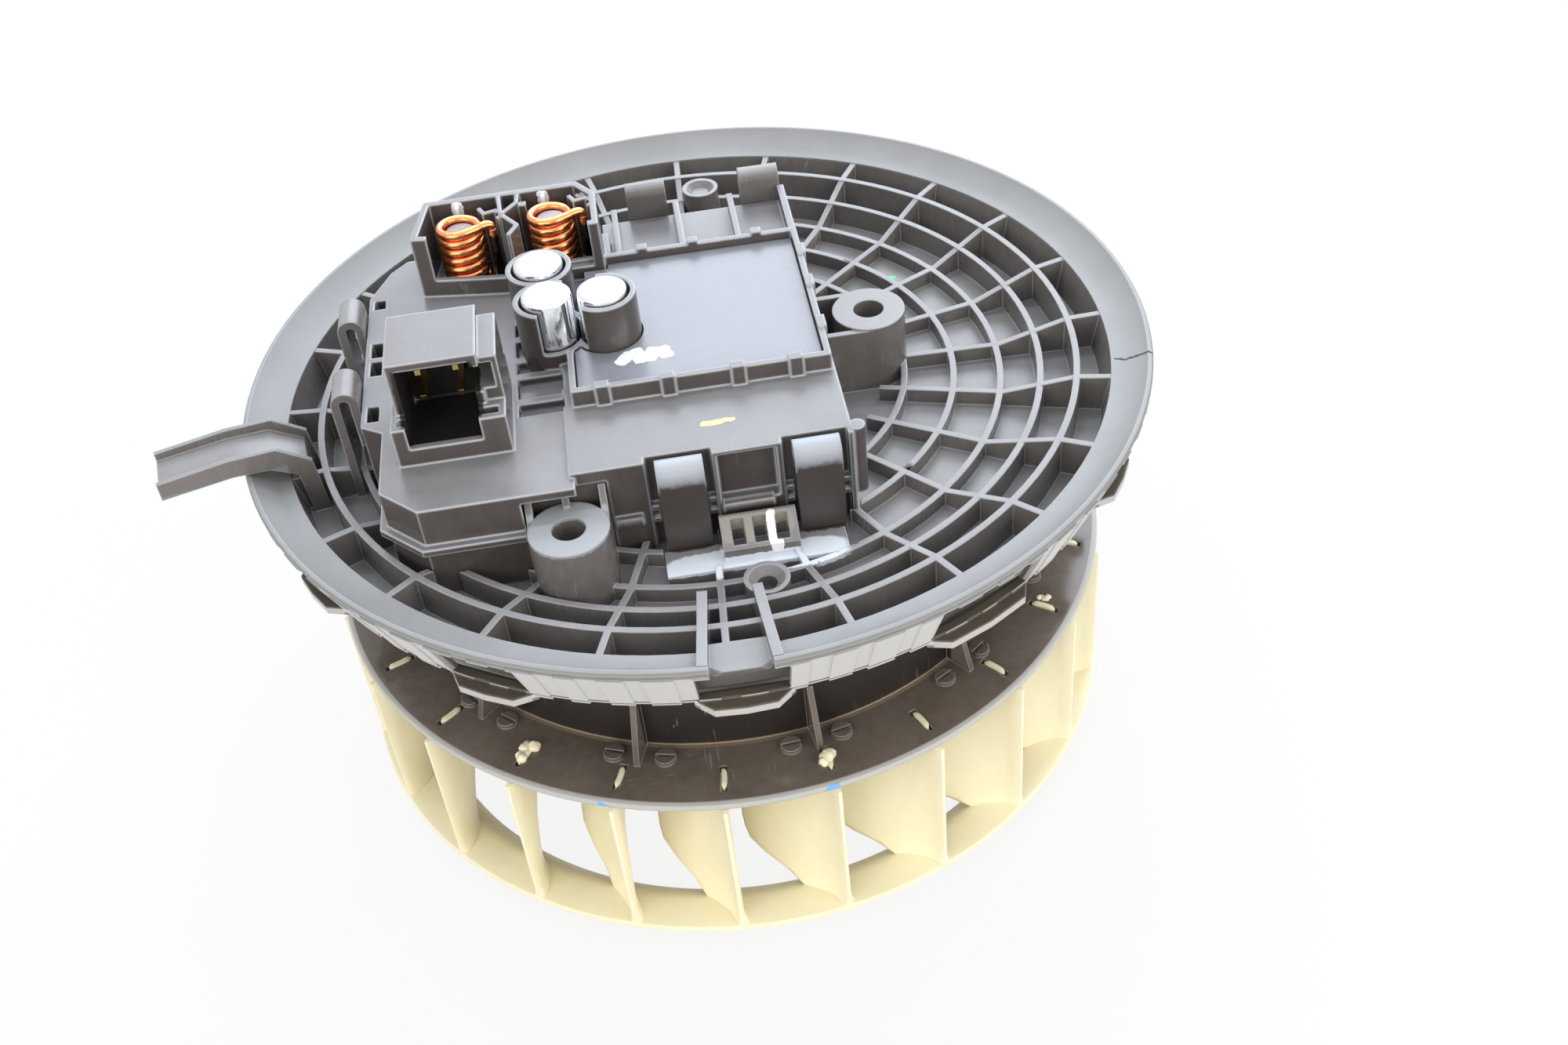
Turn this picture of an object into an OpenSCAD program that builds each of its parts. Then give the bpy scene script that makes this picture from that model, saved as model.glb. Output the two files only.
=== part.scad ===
// Cabin blower fan: a ribbed carrier flange with its motor controller on top,
// an external rotor motor underneath and a centrifugal wheel around the motor.
// Millimetres, +Z up. The origin is the centre of the flange rim's top plane,
// on the fan axis. The plug socket faces -Y and the wheel hangs below.

/* [Flange] */
// Outer radius of the rim
rim_r = 100; // [98:0.5:104]
// Width of the rim from its outer edge to the dish
rim_w = 8.7; // [8:0.1:10]
// Thickness of the rim and of the dish's side wall
rim_t = 1.8; // [1.4:0.1:2.2]
// How far the rim's inner edge lies below its outer lip
rim_sink = 4.1; // [3.4:0.1:4.4]
// Depth of the dish below the rim's top
dish_depth = 13; // [12.5:0.1:13.5]
// Thickness of the dish's floor
floor_t = 2; // [1.6:0.1:2.4]
// How far the skirt tapers in below the lip
skirt_taper = 5.4; // [5:0.1:5.8]
// How far the skirt's lower edge lies below the lip
skirt_drop = 14; // [13.8:0.1:14.6]
// Thickness of the stiffening ribs
rib_t = 1.4; // [1:0.1:1.8]
// Number of radial ribs
rib_count = 24; // [20:2:28]
// Number of locking tabs round the skirt
tab_count = 12; // [8:1:14]
// How far a locking tab reaches beyond the skirt
tab_reach = 3; // [2:0.1:4]

/* [Fixing bosses] */
// Outer radius of the two large screw bosses
boss_r = 8.1; // [7.4:0.1:8.6]
// Bore radius of the two large screw bosses
boss_bore_r = 3.4; // [2.6:0.1:4]
// Height of the large bosses above the rim's top
boss_top = 3.1; // [2:0.1:5]
// Bore radius of the small screw boss
peg_bore_r = 2; // [1.6:0.1:2.2]

/* [Latch arm] */
// Radius at which the release arm ends
arm_reach = 117; // [110:0.5:124]
// Width of the release arm
arm_w = 12; // [10:0.5:14]

/* [Controller housing] */
// Height of the controller deck above the rim's top
deck_z = 10; // [9.6:0.1:11]
// Height of the plug platform above the rim's top
platform_z = 9; // [8.6:0.1:9.4]
// Height of the tray wall above the deck
tray_h = 4; // [3:0.1:5]
// Wall thickness of the housing
case_t = 2; // [1.8:0.1:2.2]
// Thickness of the gloss cover plate
plate_t = 1.2; // [0.8:0.1:1.6]
// Width of a snap clip
clip_w = 9.5; // [8:0.1:10]
// Material thickness of a snap clip
clip_t = 1.8; // [1.4:0.1:2]

/* [Plug socket] */
// Width of the socket shroud
plug_w = 18; // [17:0.1:19]
// Depth of the socket shroud
plug_d = 17.5; // [16:0.1:18]
// Height of the socket roof above the rim's top
plug_top = 30; // [28:0.1:32]
// Width of a contact pin
pin_w = 1.2; // [0.8:0.1:1.6]

/* [Chokes and capacitors] */
// Outer diameter of a choke winding
coil_d = 10.8; // [10:0.1:11.4]
// Diameter of the choke wire
wire_d = 1.8; // [1.4:0.1:1.9]
// Turns of a choke winding
coil_turns = 5.8; // [3.8:1:5.8]
// Height of the choke cells above the rim's top
cell_top = 24; // [23:0.1:25]
// Diameter of a capacitor with its insulating sleeve
cap_d = 11.3; // [11:0.1:11.4]
// Height of a capacitor's top above the rim's top
cap_top = 23.4; // [22.8:0.1:24]

/* [Motor] */
// Radius of the motor shaft
shaft_r = 3.95; // [3.5:0.05:4.2]
// Outer radius of a ball bearing
bearing_r = 11; // [10.5:0.1:11.3]
// Width of a ball bearing
bearing_w = 7; // [6:0.1:8]
// Outer radius of the stator stack
stator_r = 36.4; // [35.5:0.1:37]
// Height of the stator stack
stack_h = 20; // [18:0.5:21]
// Number of stator teeth
tooth_count = 12; // [9:3:12]
// Number of rotor magnets
magnet_count = 10; // [8:2:14]
// Outer radius of the rotor cup
rotor_r = 43; // [42.6:0.1:44]

/* [Wheel] */
// Outer radius of the back disc
disc_r = 90.2; // [89:0.1:90.6]
// Depth of the back disc's top below the rim's top
disc_drop = 49.3; // [48.5:0.1:50]
// Thickness of the back disc
disc_t = 2; // [1.6:0.1:2.4]
// Radius of the blade tips
tip_r = 90.9; // [90:0.1:92]
// Height of a blade
blade_h = 37.7; // [35:0.1:40]
// Thickness of a blade
blade_t = 1.4; // [1:0.1:1.8]
// Number of blades
blade_count = 24; // [20:1:26]
// Outer radius of the drum on the back disc
drum_r = 73.5; // [72:0.1:74.5]
// Number of cooling vanes on the back disc
vane_count = 13; // [9:1:15]

/* [Hidden] */
$fn = 96;
// Radial clearance of the shaft in its bearings
run_gap = 0.05;
// Clearance between pieces that are fitted together by hand
fit_gap = 0.1;
// Overlap that makes a cut pass cleanly through a face
cut = 1;

// Flange
floor_z = -dish_depth;
floor_low_z = floor_z - floor_t;
dish_r = rim_r - rim_w;
band_r = dish_r + 3.1;
band_z = -rim_sink + 0.5;
wall_lean = 1.7;
dish_foot_r = dish_r - wall_lean;
skirt_top_r = rim_r - 0.3;
skirt_top_z = -1.6;
skirt_low_r = skirt_top_r - skirt_taper;
skirt_t = 1.7;
rib_turn = -2.5;
rib_rim_z = -rim_sink - 0.3;
rib_shelf_z = -rim_sink - 0.7;
rib_low_z = -9.5;
rib_in_r = 41;
shelf_r = dish_r - 7.3;
low_r = dish_r - 22.8;
ring_radii = [shelf_r, dish_r - 15.1, dish_r - 23.8, dish_r - 34.1, dish_r - 45];
tab_turn = -91.1;
tab_top_z = -skirt_drop + 0.7;
tab_low_z = tab_top_z - 1.9;
tab_half_in = 5.8;
tab_half_out = 3.5;
wide_tab = 1;
window_half = 5.2;
window_top_z = -2.9;
window_low_z = tab_top_z + 0.4;
pad_count = 72;
thick_rib_turns = [-95.2, -87.1];
thick_rib_t = 2;
notch_z = -rim_sink;
boss_a = [-30.5, -59];
boss_b = [39.4, 0];
peg_front = [6.1, -70.4];
peg_back = [8.7, 75.5];
peg_r = 4.6;
peg_top_z = -7;
arm_turn = 190.2;
arm_wall_t = 1;
post_ring_r = 50;
post_turn = 30;
post_r = 5;
sink_window = [45, 50];
sink_mid = [0, -13];
lead_y = 22;
lead_gap = 6;

// Controller housing
module_l = -28;
module_r = 27.5;
module_f = -51;
module_b = 47;
platform_f = -54.2;
platform_l = -66.5;
platform_side_l = -71;
platform_b = 38;
back_z = 6;
tray_top_z = deck_z + tray_h;
plate_z = tray_top_z - 1.9;
ledge_z = 0.3;
clip_top_z = 14;
clip_front_top_z = 10.4;
clip_roll_r = 2.85;
clip_foot_gap = 0.25;
clip_notch = 2;
clip_side = 1.9;
clip_face_front = module_f + clip_notch;
clip_face_back = module_b;
clip_front_x = [-7.5, 19.8];
clip_back_x = [-5.5, 21.8];
clip_left_y = [13, -14];
board_top_z = -2.4;
board_t = 1.6;
board_low_z = board_top_z - board_t;
board_posts = [
    [20, -40, deck_z - 1.5], [20, 36, back_z - 1.5], [-12, 36, back_z - 1.5],
    [-58, -36, platform_z - 1.5]
];
post_out_r = 3;
board_screw_r = 1.05;

// Plug socket
plug_l = -61.2;
plug_f = -34.5;
plug_wall = 1.7;
plug_base_l = -62.4;
plug_base_r = -39.5;
plug_base_f = -39.5;
plug_base_top = 18;
plug_mid_x = plug_l + plug_w / 2;
pin_rows_z = [17.2, 23.4];
pin_pitch = 7.6;

// Chokes and capacitors
cell_f = 20;
cell_b = 37.4;
cell_l = -58;
cell_mid = -37.9;
cell_r = -16.9;
cell_t = 1.4;
cell_rib_t = 0.9;
coil_mids = [[-48, 27.5], [-27.5, 27.5]];
coil_seat_z = platform_z + 0.3;
coil_rise = 12.6;
lead_low_z = board_top_z + 0.2;
lead_out = [7.4, -1.8];
core_r = coil_d / 2 - wire_d - 0.35;
cap_mids = [[-30.9, 6.2], [-29.6, -6.7], [-17.9, -7.7]];
cap_low_z = board_top_z + 0.1;
sleeve_t = 0.25;
cup_gap = 0.4;
cup_t = 1.1;
cup_r = cap_d / 2 + cup_gap + cup_t;

// Motor
carrier_top_z = -23.75;
carrier_t = 2.5;
carrier_low_z = carrier_top_z - carrier_t;
carrier_r = 58;
grommet_lip = 2.5;
grommet_r = 6.5;
grommet_neck_r = 5;
post_low_z = carrier_top_z - -grommet_lip;
grommet_low_z = carrier_low_z - grommet_lip;
screw_r = 1.5;
screw_head_r = 4.4;
screw_head_h = 2;
tube_r = bearing_r + 2.5;
tube_low_z = -60;
shoulder_r = bearing_r - 1.6;
upper_seat_z = carrier_low_z - 0.25 - bearing_w;
lower_seat_z = tube_low_z + bearing_w;
stack_low_z = -56;
stack_top_z = stack_low_z + stack_h;
yoke_r = tube_r + 4.2;
tooth_w = 5;
tooth_tip_in = stator_r - 3.2;
tooth_tip_half = 150 / tooth_count;
winding_t = 2.1;
rotor_t = 2;
cup_low_z = -66.5;
cup_top_z = -30;
cup_floor_t = 2;
cup_sleeve_r = 8;
cup_sleeve_h = 5;
magnet_in_r = stator_r + 0.8;
magnet_out_r = rotor_r - rotor_t - fit_gap;
magnet_low_z = -60;
magnet_top_z = -34;
shaft_top_z = -24.4;
shaft_low_z = -84;
clip_groove_r = shaft_r - 0.55;
clip_groove_h = 0.9;
clip_groove_z = upper_seat_z + bearing_w + 0.25;

// Wheel
disc_z = -disc_drop;
disc_low_z = disc_z - disc_t;
rim_ring_z = disc_low_z - blade_h;
drum_t = 2;
drum_top_z = -33;
vane_t = 1.3;
vane_foot_r = 80;
vane_turn = -81;
blade_turn = -65.7;
tab_in_r = 80;
tab_out_r = 86.5;
stake_t = 1.3;
stake_rise = 0.5;
slot_gap = 0.15;
hub_r = 14;
dome_r = 50;
dome_top_r = 57;
lip_r = 84.2;
eye_r = 77;
eye_t = 1.6;
eye_drop = 8.4;
edge_top_r = 61;
edge_mid_r = 73.2;
edge_foot_r = 82.8;
edge_mid = 0.71;
sweep_rate = 0.057;

// Unit vector of v
function unit(v) = v / norm(v);
// Point at radius r and angle a
function polar(r, a) = [r * cos(a), r * sin(a)];
// Outward offset of a counterclockwise outline by d, corners kept sharp
function grown(p, d) = [
    for (i = [0:len(p) - 1])
        let (
            before = p[(i + len(p) - 1) % len(p)],
            after = p[(i + 1) % len(p)],
            u = unit(p[i] - before),
            v = unit(after - p[i]),
            nu = [u[1], -u[0]],
            nv = [v[1], -v[0]]
        )
        p[i] + d * (nu + nv) / (1 + nu * nv)
];

// Outline of a strip of width w along a path
function strip(p, w) =
    let (
        n = len(p) - 1,
        u = [for (i = [0:n - 1]) unit(p[i + 1] - p[i])],
        s = [
            for (i = [0:n])
                let (a = u[max(i - 1, 0)], b = u[min(i, n - 1)])
                [-(a + b)[1], (a + b)[0]] / (1 + a * b) * w / 2
        ]
    )
    concat([for (i = [0:n]) p[i] - s[i]], [for (i = [n:-1:0]) p[i] + s[i]]);

// Outline of the whole controller housing where it stands in the dish
function case_outline() = [
    [module_r, module_f], [module_r, module_b], [cell_r, module_b],
    [cell_r, platform_b], [platform_l + 3.7, platform_b],
    [platform_l, platform_b - 4], [platform_side_l, 24],
    [platform_side_l, -24], [platform_l, -27], [platform_l, -46.6],
    [platform_l + 7.6, platform_f], [module_l, platform_f], [module_l, module_f]
];
// Outline of the plug platform, left of the module
function platform_outline() = [
    [module_l, platform_f], [module_l, platform_b],
    [platform_l + 3.7, platform_b], [platform_l, platform_b - 4],
    [platform_side_l, 24], [platform_side_l, -24], [platform_l, -27],
    [platform_l, -46.6], [platform_l + 7.6, platform_f]
];
// Outline of the two choke cells
function cell_outline() = [
    [cell_l - 0.6, cell_f + 1.8], [cell_l + 12, cell_f - 0.6], [cell_mid, cell_f - 2],
    [cell_r, cell_f - 2], [cell_r, cell_b - 6], [cell_r - 4, cell_b],
    [cell_l + 2.2, cell_b]
];
// Outline of the circuit board and, grown, of the space that holds it
function board_outline() = [
    [module_r - 3.2, clip_face_front + 2.6], [module_r - 3.2, module_b - 2.6],
    [cell_r - 1.6, module_b - 2.6], [cell_r - 1.6, platform_b - 3],
    [platform_l + 5.5, platform_b - 3], [platform_l + 3, platform_b - 6],
    [platform_l + 3, -45], [platform_l + 9, platform_f + 2.8],
    [boss_a[0] - boss_r - 3, platform_f + 2.8], [boss_a[0] - boss_r - 3, clip_face_front + 2.6]
];

// Tube from radius a to radius b, between two heights
module tube(a, b, low, high) {
    rotate_extrude() translate([a, low]) square([b - a, high - low]);
}
// Upright block between two corners
module block(from, to) {
    translate(from) cube(to - from);
}
// Upright prism of an outline between two heights
module prism(points, low, high) {
    translate([0, 0, low]) linear_extrude(high - low) polygon(points);
}
// Round post or hole at a place, between two heights
module post(at, r, low, high) {
    translate([at[0], at[1], low]) cylinder(r = r, h = high - low);
}
// Ring sector between two radii, turned to an angle and half an angle wide
module sector(a, b, low, high, mid, half) {
    rotate([0, 0, mid - half])
        rotate_extrude(angle = 2 * half) translate([a, low]) square([b - a, high - low]);
}

// Outer radius of the tapered skirt at height z
function skirt_at(z) =
    skirt_top_r - skirt_taper * (skirt_top_z - z) / (skirt_top_z + skirt_drop);
// Rim, dish and skirt of the flange in section
module flange_section() {
    polygon([
        [dish_r, -rim_sink], [band_r, band_z], [rim_r - 1.1, 0], [rim_r - 0.4, -0.15],
        [rim_r, -0.8], [skirt_top_r, skirt_top_z], [skirt_low_r, -skirt_drop],
        [skirt_low_r - skirt_t, -skirt_drop], [skirt_at(-3.7) - skirt_t, -3.7],
        [band_r + 0.8, band_z - rim_t], [dish_r + rim_t + 0.1, -rim_sink - rim_t],
        [dish_foot_r + rim_t, floor_low_z], [0, floor_low_z], [0, floor_z],
        [dish_foot_r, floor_z]
    ]);
}
// Height of the rib tops at radius r
function rib_z(r) =
    r >= shelf_r ? rib_shelf_z
    : r >= low_r ? rib_low_z + (rib_shelf_z - rib_low_z) * (r - low_r) / (shelf_r - low_r)
    : rib_low_z;
// One radial rib along +X
module radial_rib() {
    rotate([90, 0, 0]) translate([0, 0, -rib_t / 2]) linear_extrude(rib_t)
        polygon([
            [rib_in_r, floor_z - cut / 2], [dish_foot_r + 0.8, floor_z - cut / 2],
            [dish_r + 0.4, rib_rim_z], [shelf_r, rib_shelf_z], [low_r, rib_low_z],
            [rib_in_r, rib_low_z]
        ]);
}
// Radial and round ribs that stiffen the dish, clear of the housing
module dish_ribs() {
    difference() {
        union() {
            for (i = [0:rib_count - 1])
                rotate([0, 0, rib_turn + i * 360 / rib_count]) radial_rib();
            for (r = ring_radii)
                tube(r - rib_t / 2, r + rib_t / 2, floor_z - cut / 2, rib_z(r));
        }
        prism(grown(case_outline(), 0.6), floor_z, cut);
        for (x = clip_front_x) clip_room(x);
    }
}
// Room round a front clip and the shelf in front of it
module clip_room(x) {
    block([x - clip_w / 2 - 1, platform_f - 8, floor_z], [x + clip_w / 2 + 1, module_f, cut]);
}
// Shallow upright pads on the outside of the skirt
module skirt_pads() {
    for (i = [0:pad_count - 1]) {
        half = 1.1 + 0.6 * ((i * 7) % 5) / 4;
        low = -skirt_drop - 0.12 - 0.3 * ((i * 3) % 4) / 3;
        rotate([0, 0, i * 360 / pad_count - half]) rotate_extrude(angle = 2 * half)
            polygon([
                [skirt_at(-2) - 0.4, -2], [skirt_at(-2) + 0.35, -2],
                [skirt_at(low) + 0.35, low], [skirt_at(low) - 0.4, low]
            ]);
    }
}
// How much wider than the others the locking tab of index i is
function tab_more(i) = i == wide_tab ? 2 : 0;
// Locking tabs under the skirt
module lock_tabs() {
    foot = skirt_low_r - skirt_t + 0.1;
    for (i = [0:tab_count - 1]) {
        wide = tab_half_in + tab_more(i);
        tip = tab_half_out + tab_more(i);
        rotate([0, 0, tab_turn + i * 360 / tab_count])
            prism([
                polar(foot, -wide), polar(skirt_low_r, -wide), polar(skirt_low_r + tab_reach, -tip),
                polar(skirt_low_r + tab_reach + 0.2, 0), polar(skirt_low_r + tab_reach, tip),
                polar(skirt_low_r, wide), polar(foot, wide)
            ], tab_low_z, tab_top_z);
    }
}
// Windows in the skirt above the locking tabs
module tab_windows() {
    for (i = [0:tab_count - 1]) {
        half = window_half + tab_more(i);
        rotate([0, 0, tab_turn + i * 360 / tab_count - half])
            rotate_extrude(angle = 2 * half)
                polygon([
                    [skirt_at(window_low_z) - skirt_t - 0.15, window_low_z], [rim_r + cut, window_low_z],
                    [rim_r + cut, window_top_z], [skirt_at(window_top_z) - 1, window_top_z],
                    [skirt_at(-4.2) - skirt_t - 0.15, -4.2]
                ]);
    }
}
// Two thick ribs at the front that run up over the rim
module thick_ribs() {
    for (a = thick_rib_turns)
        rotate([0, 0, a]) rotate([90, 0, 0]) translate([0, 0, -thick_rib_t / 2])
            linear_extrude(thick_rib_t)
                polygon([
                    [shelf_r - 8.4, floor_z - cut / 2], [dish_foot_r + 0.8, floor_z - cut / 2],
                    [dish_r + 1, -5], [band_r + 0.5, -5], [rim_r - 1.6, -1.6], [rim_r - 1.4, -0.1],
                    [shelf_r, -2.6], [shelf_r - 8.4, -3.4]
                ]);
}
// Outline of the front notch between the thick ribs, from radius a outwards
module notch_outline(a, b) {
    rotate([0, 0, tab_turn]) polygon([
        polar(a, -3.5), polar(rim_r - 4.6, -3.5), polar(rim_r - 1, 0.1), polar(rim_r - 4.6, 3.5),
        polar(a, 3.5), [b, 0]
    ]);
}
// Flat plate in the front notch, with its pointed outer edge
module notch_plate() {
    translate([0, 0, notch_z - rim_t]) linear_extrude(rim_t)
        notch_outline(dish_foot_r - 0.2, dish_foot_r - 0.4);
}
// Cut through the rim round the notch plate
module rim_notch() {
    difference() {
        translate([0, 0, tab_top_z]) linear_extrude(cut - tab_top_z) rotate([0, 0, tab_turn])
            polygon([
                polar(band_r - 0.6, -3.45), polar(rim_r + 2, -3.45),
                polar(rim_r + 2, 3.45), polar(band_r - 0.6, 3.45)
            ]);
        translate([0, 0, -rim_r]) linear_extrude(rim_r + notch_z)
            notch_outline(dish_foot_r, dish_foot_r - 1);
    }
    translate([0, 0, notch_z]) linear_extrude(rim_sink + cut) rotate([0, 0, tab_turn])
        polygon([
            polar(dish_foot_r - 1, -3.45), polar(rim_r + 2, -3.45),
            polar(rim_r + 2, 3.45), polar(dish_foot_r - 1, 3.45)
        ]);
}
// One large boss with two webs towards an angle, whose tops rise to a height
module large_boss(at, turn, reach, rise) {
    post(at, boss_r, floor_z - cut / 2, boss_top);
    translate([at[0], at[1], 0]) rotate([0, 0, turn])
        for (side = [-1, 1])
            translate([0, side * (boss_r - rib_t / 2) + rib_t / 2, 0]) rotate([90, 0, 0])
                linear_extrude(rib_t) polygon([
                    [0, floor_z - cut / 2], [reach, floor_z - cut / 2], [reach, rise],
                    [reach - 0.8, rise], [boss_r / 2, boss_top - 0.4], [0, boss_top - 0.4]
                ]);
}
// Snap clip in profile: an outer leg, a rolled top and a short inner leg.
// Its inner face is at zero and it stands away from the housing.
module clip_profile(top) {
    roll_in = clip_roll_r - clip_t;
    roll_z = top - clip_roll_r;
    difference() {
        union() {
            translate([clip_foot_gap + clip_roll_r, roll_z]) circle(r = clip_roll_r);
            translate([clip_foot_gap, 3.3]) square([clip_t, roll_z - 3.3]);
            translate([clip_foot_gap + 2 * clip_roll_r - clip_t, floor_z - cut / 2])
                square([clip_t, roll_z - floor_z + cut / 2]);
        }
        translate([clip_foot_gap + clip_roll_r, roll_z]) circle(r = roll_in);
        translate([clip_foot_gap + clip_t, floor_z - cut])
            square([2 * clip_roll_r - 2 * clip_t, roll_z - floor_z + cut]);
    }
}
// Snap clip that stands off a face at a place, facing along an angle
module snap_clip(at, turn, top = clip_top_z) {
    translate([at[0], at[1], 0]) rotate([0, 0, turn]) rotate([90, 0, 0])
        translate([0, 0, -clip_w / 2]) linear_extrude(clip_w) clip_profile(top);
}
// All six snap clips of the flange
module snap_clips() {
    for (x = clip_front_x) snap_clip([x, clip_face_front], -90, clip_front_top_z);
    for (x = clip_back_x) snap_clip([x, clip_face_back], 90);
    for (y = clip_left_y) snap_clip([platform_side_l, y], 180);
}
// Release arm: a channel that rises out of the dish, crosses the rim and ends free
module latch_arm() {
    inner = [
        [dish_r - 5.5, floor_z - cut / 2], [dish_r - 3.5, floor_z - cut / 2],
        [dish_r - 2.5, -2], [dish_r + 3, 1.2], [rim_r + 2, 1.8], [arm_reach, 0.6],
        [arm_reach, 2.2], [rim_r + 2, 3.4], [dish_r + 2, 3], [dish_r - 4.5, -1.2]
    ];
    side = [
        [dish_r - 6.5, floor_z - cut / 2], [dish_r - 2.8, floor_z - cut / 2],
        [dish_r - 2, -2.4], [dish_r + 3, 0.5], [rim_r + 2, 1.1], [arm_reach, -0.1],
        [arm_reach, 4], [rim_r + 2, 5.4], [dish_r + 1, 5.2], [dish_r - 5.5, 0.4]
    ];
    rotate([0, 0, arm_turn]) rotate([90, 0, 0]) {
        translate([0, 0, (arm_wall_t - arm_w) / 2]) linear_extrude(arm_w - arm_wall_t) polygon(inner);
        for (at = [-arm_w / 2, arm_w / 2 - arm_wall_t])
            translate([0, 0, at]) linear_extrude(arm_wall_t) polygon(side);
    }
}
// Shelf and slotted comb in front of the module
module front_shelf() {
    comb_l = -1.3;
    comb_r = 14.2;
    shelf_z = floor_z + 3;
    block([-13, platform_f - 8.8, floor_z - cut / 2], [23.8, platform_f - 1.2, shelf_z]);
    difference() {
        translate([comb_l, 0, 0]) rotate([90, 0, 90]) linear_extrude(comb_r - comb_l)
            polygon([
                [platform_f - 6.6, shelf_z - cut], [platform_f - 6.6, shelf_z + 2.5],
                [platform_f - 1, shelf_z + 6.6], [platform_f - 0.2, shelf_z + 6.6],
                [platform_f - 0.2, shelf_z - cut]
            ]);
        for (i = [0:2])
            block([comb_l + 2.2 + i * 4.4, platform_f - 5.8, shelf_z + 0.6],
                [comb_l + 4.8 + i * 4.4, platform_f - 1.4, 0]);
    }
}
// Small boss, or peg
module small_boss(at, top) {
    translate([at[0], at[1], floor_z - cut / 2])
        cylinder(r = peg_r, h = top - floor_z + cut / 2);
}
// The moulded carrier flange
module carrier_flange() color("dimgray") {
    difference() {
        union() {
            difference() {
                union() {
                    rotate_extrude() flange_section();
                    skirt_pads();
                }
                rim_notch();
            }
            dish_ribs();
            lock_tabs();
            large_boss(boss_a, 90, boss_r + 0.1, platform_z - case_t - 0.3);
            block([boss_a[0] - rib_t / 2, boss_a[1] + boss_r - 1.8, boss_top - cut],
                [boss_a[0] + rib_t / 2, boss_a[1] + boss_r - 0.1, platform_z - case_t - 0.3]);
            large_boss(boss_b, 180, boss_b[0] - module_r - 0.6, boss_top - 0.4);
            small_boss(peg_front, peg_top_z);
            small_boss(peg_back, peg_top_z + 3);
            snap_clips();
            latch_arm();
            front_shelf();
            thick_ribs();
            notch_plate();
            for (i = [0:2])
                post(polar(post_ring_r, post_turn + i * 120), post_r, post_low_z, floor_low_z + cut / 2);
        }
        for (at = [boss_a, boss_b]) post(at, boss_bore_r, floor_low_z - cut, boss_top + cut);
        post(peg_front, peg_bore_r, floor_low_z - cut, 0);
        translate([peg_front[0], peg_front[1], peg_top_z - 1.5])
            cylinder(r1 = peg_bore_r, r2 = peg_r - 0.8, h = 1.6);
        translate([peg_back[0], peg_back[1], peg_top_z + 1.6])
            cylinder(r1 = peg_bore_r, r2 = peg_r - 0.8, h = 1.6);
        for (i = [0:2])
            post(polar(post_ring_r, post_turn + i * 120), screw_r + fit_gap, post_low_z - cut, floor_low_z);
        block([sink_mid[0] - sink_window[0] / 2, sink_mid[1] - sink_window[1] / 2, floor_low_z - cut],
            [sink_mid[0] + sink_window[0] / 2, sink_mid[1] + sink_window[1] / 2, floor_z + cut]);
        block([-lead_gap - 3, lead_y - 3, floor_low_z - cut], [lead_gap + 3, lead_y + 3, floor_z + cut]);
        tab_windows();
    }
}
// Housing body with its three levels, before its space is cut
module case_body() {
    prism(platform_outline(), floor_z, platform_z);
    prism([[module_l - cut, module_f], [module_r, module_f], [module_r, cell_f + cut],
        [module_l - cut, cell_f + cut]], floor_z, deck_z);
    prism([[cell_r, cell_f], [module_r, cell_f], [module_r, module_b], [cell_r, module_b]],
        floor_z, back_z);
    prism([[module_l - cut, cell_f], [cell_r + cell_t, cell_f], [cell_r + cell_t, platform_b],
        [module_l - cut, platform_b]], floor_z, platform_z);
    block([module_r - 1.6, module_f + 1, back_z - cut], [module_r, module_b, deck_z]);
    prism(grown([[module_l, platform_f], [module_l, -30], [platform_l, -30], [platform_l, -46.6],
        [platform_l + 7.6, platform_f]], 1.7), ledge_z - 1.5, ledge_z);
}
// Raised wall round the cover plate, with small lugs
module tray_wall() {
    wall = 1.3;
    l = -27;
    r = 26.9;
    f = -29.6;
    b = 20.9;
    difference() {
        block([l, f, deck_z - cut], [r, b, tray_top_z]);
        block([l + wall, f + wall, deck_z - 2 * cut], [r - wall, b - wall, tray_top_z + cut]);
    }
    for (x = [-22, -8.5, 6, 18]) block([x, f - 0.7, deck_z - cut], [x + 3, f + wall, tray_top_z + 0.8]);
    for (x = [-9.5, 2, 16.5]) block([x, b - wall, deck_z - cut], [x + 2.4, b + 0.7, tray_top_z + 0.8]);
    for (y = [-20, -4, 9]) block([r - wall, y, deck_z - cut], [r + 0.6, y + 4, tray_top_z + 0.5]);
}
// Plug socket with its base frame
module socket_body() {
    block([plug_base_l, plug_base_f, platform_z - cut], [plug_base_r, plug_f + plug_d, plug_base_top]);
    block([plug_l, plug_f, platform_z], [plug_l + plug_w, plug_f + plug_d, plug_top]);
    block([plug_l + plug_w - cut, plug_f + 1, plug_base_top - cut],
        [plug_base_r, plug_f + plug_d - 1.5, plug_top - 1.6]);
}
// Space inside the plug socket
module socket_space() {
    back = plug_f + plug_d - 2.4;
    right = plug_l + plug_w - plug_wall;
    block([plug_l + plug_wall, plug_base_f + 1.5, platform_z + 1.5], [right, back, plug_top - plug_wall]);
    block([right - cut, plug_f - cut, plug_base_top + 3], [plug_base_r - 1.3, back - 3, plug_top - 3]);
    block([plug_l + plug_wall, plug_base_f - cut, plug_base_top - 5], [right, plug_base_f + 2, plug_top]);
    block([plug_base_l + 1.3, plug_base_f + 1.5, platform_z + 1.5],
        [plug_base_r - 1.4, plug_f - 1.2, plug_base_top + cut]);
}
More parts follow.
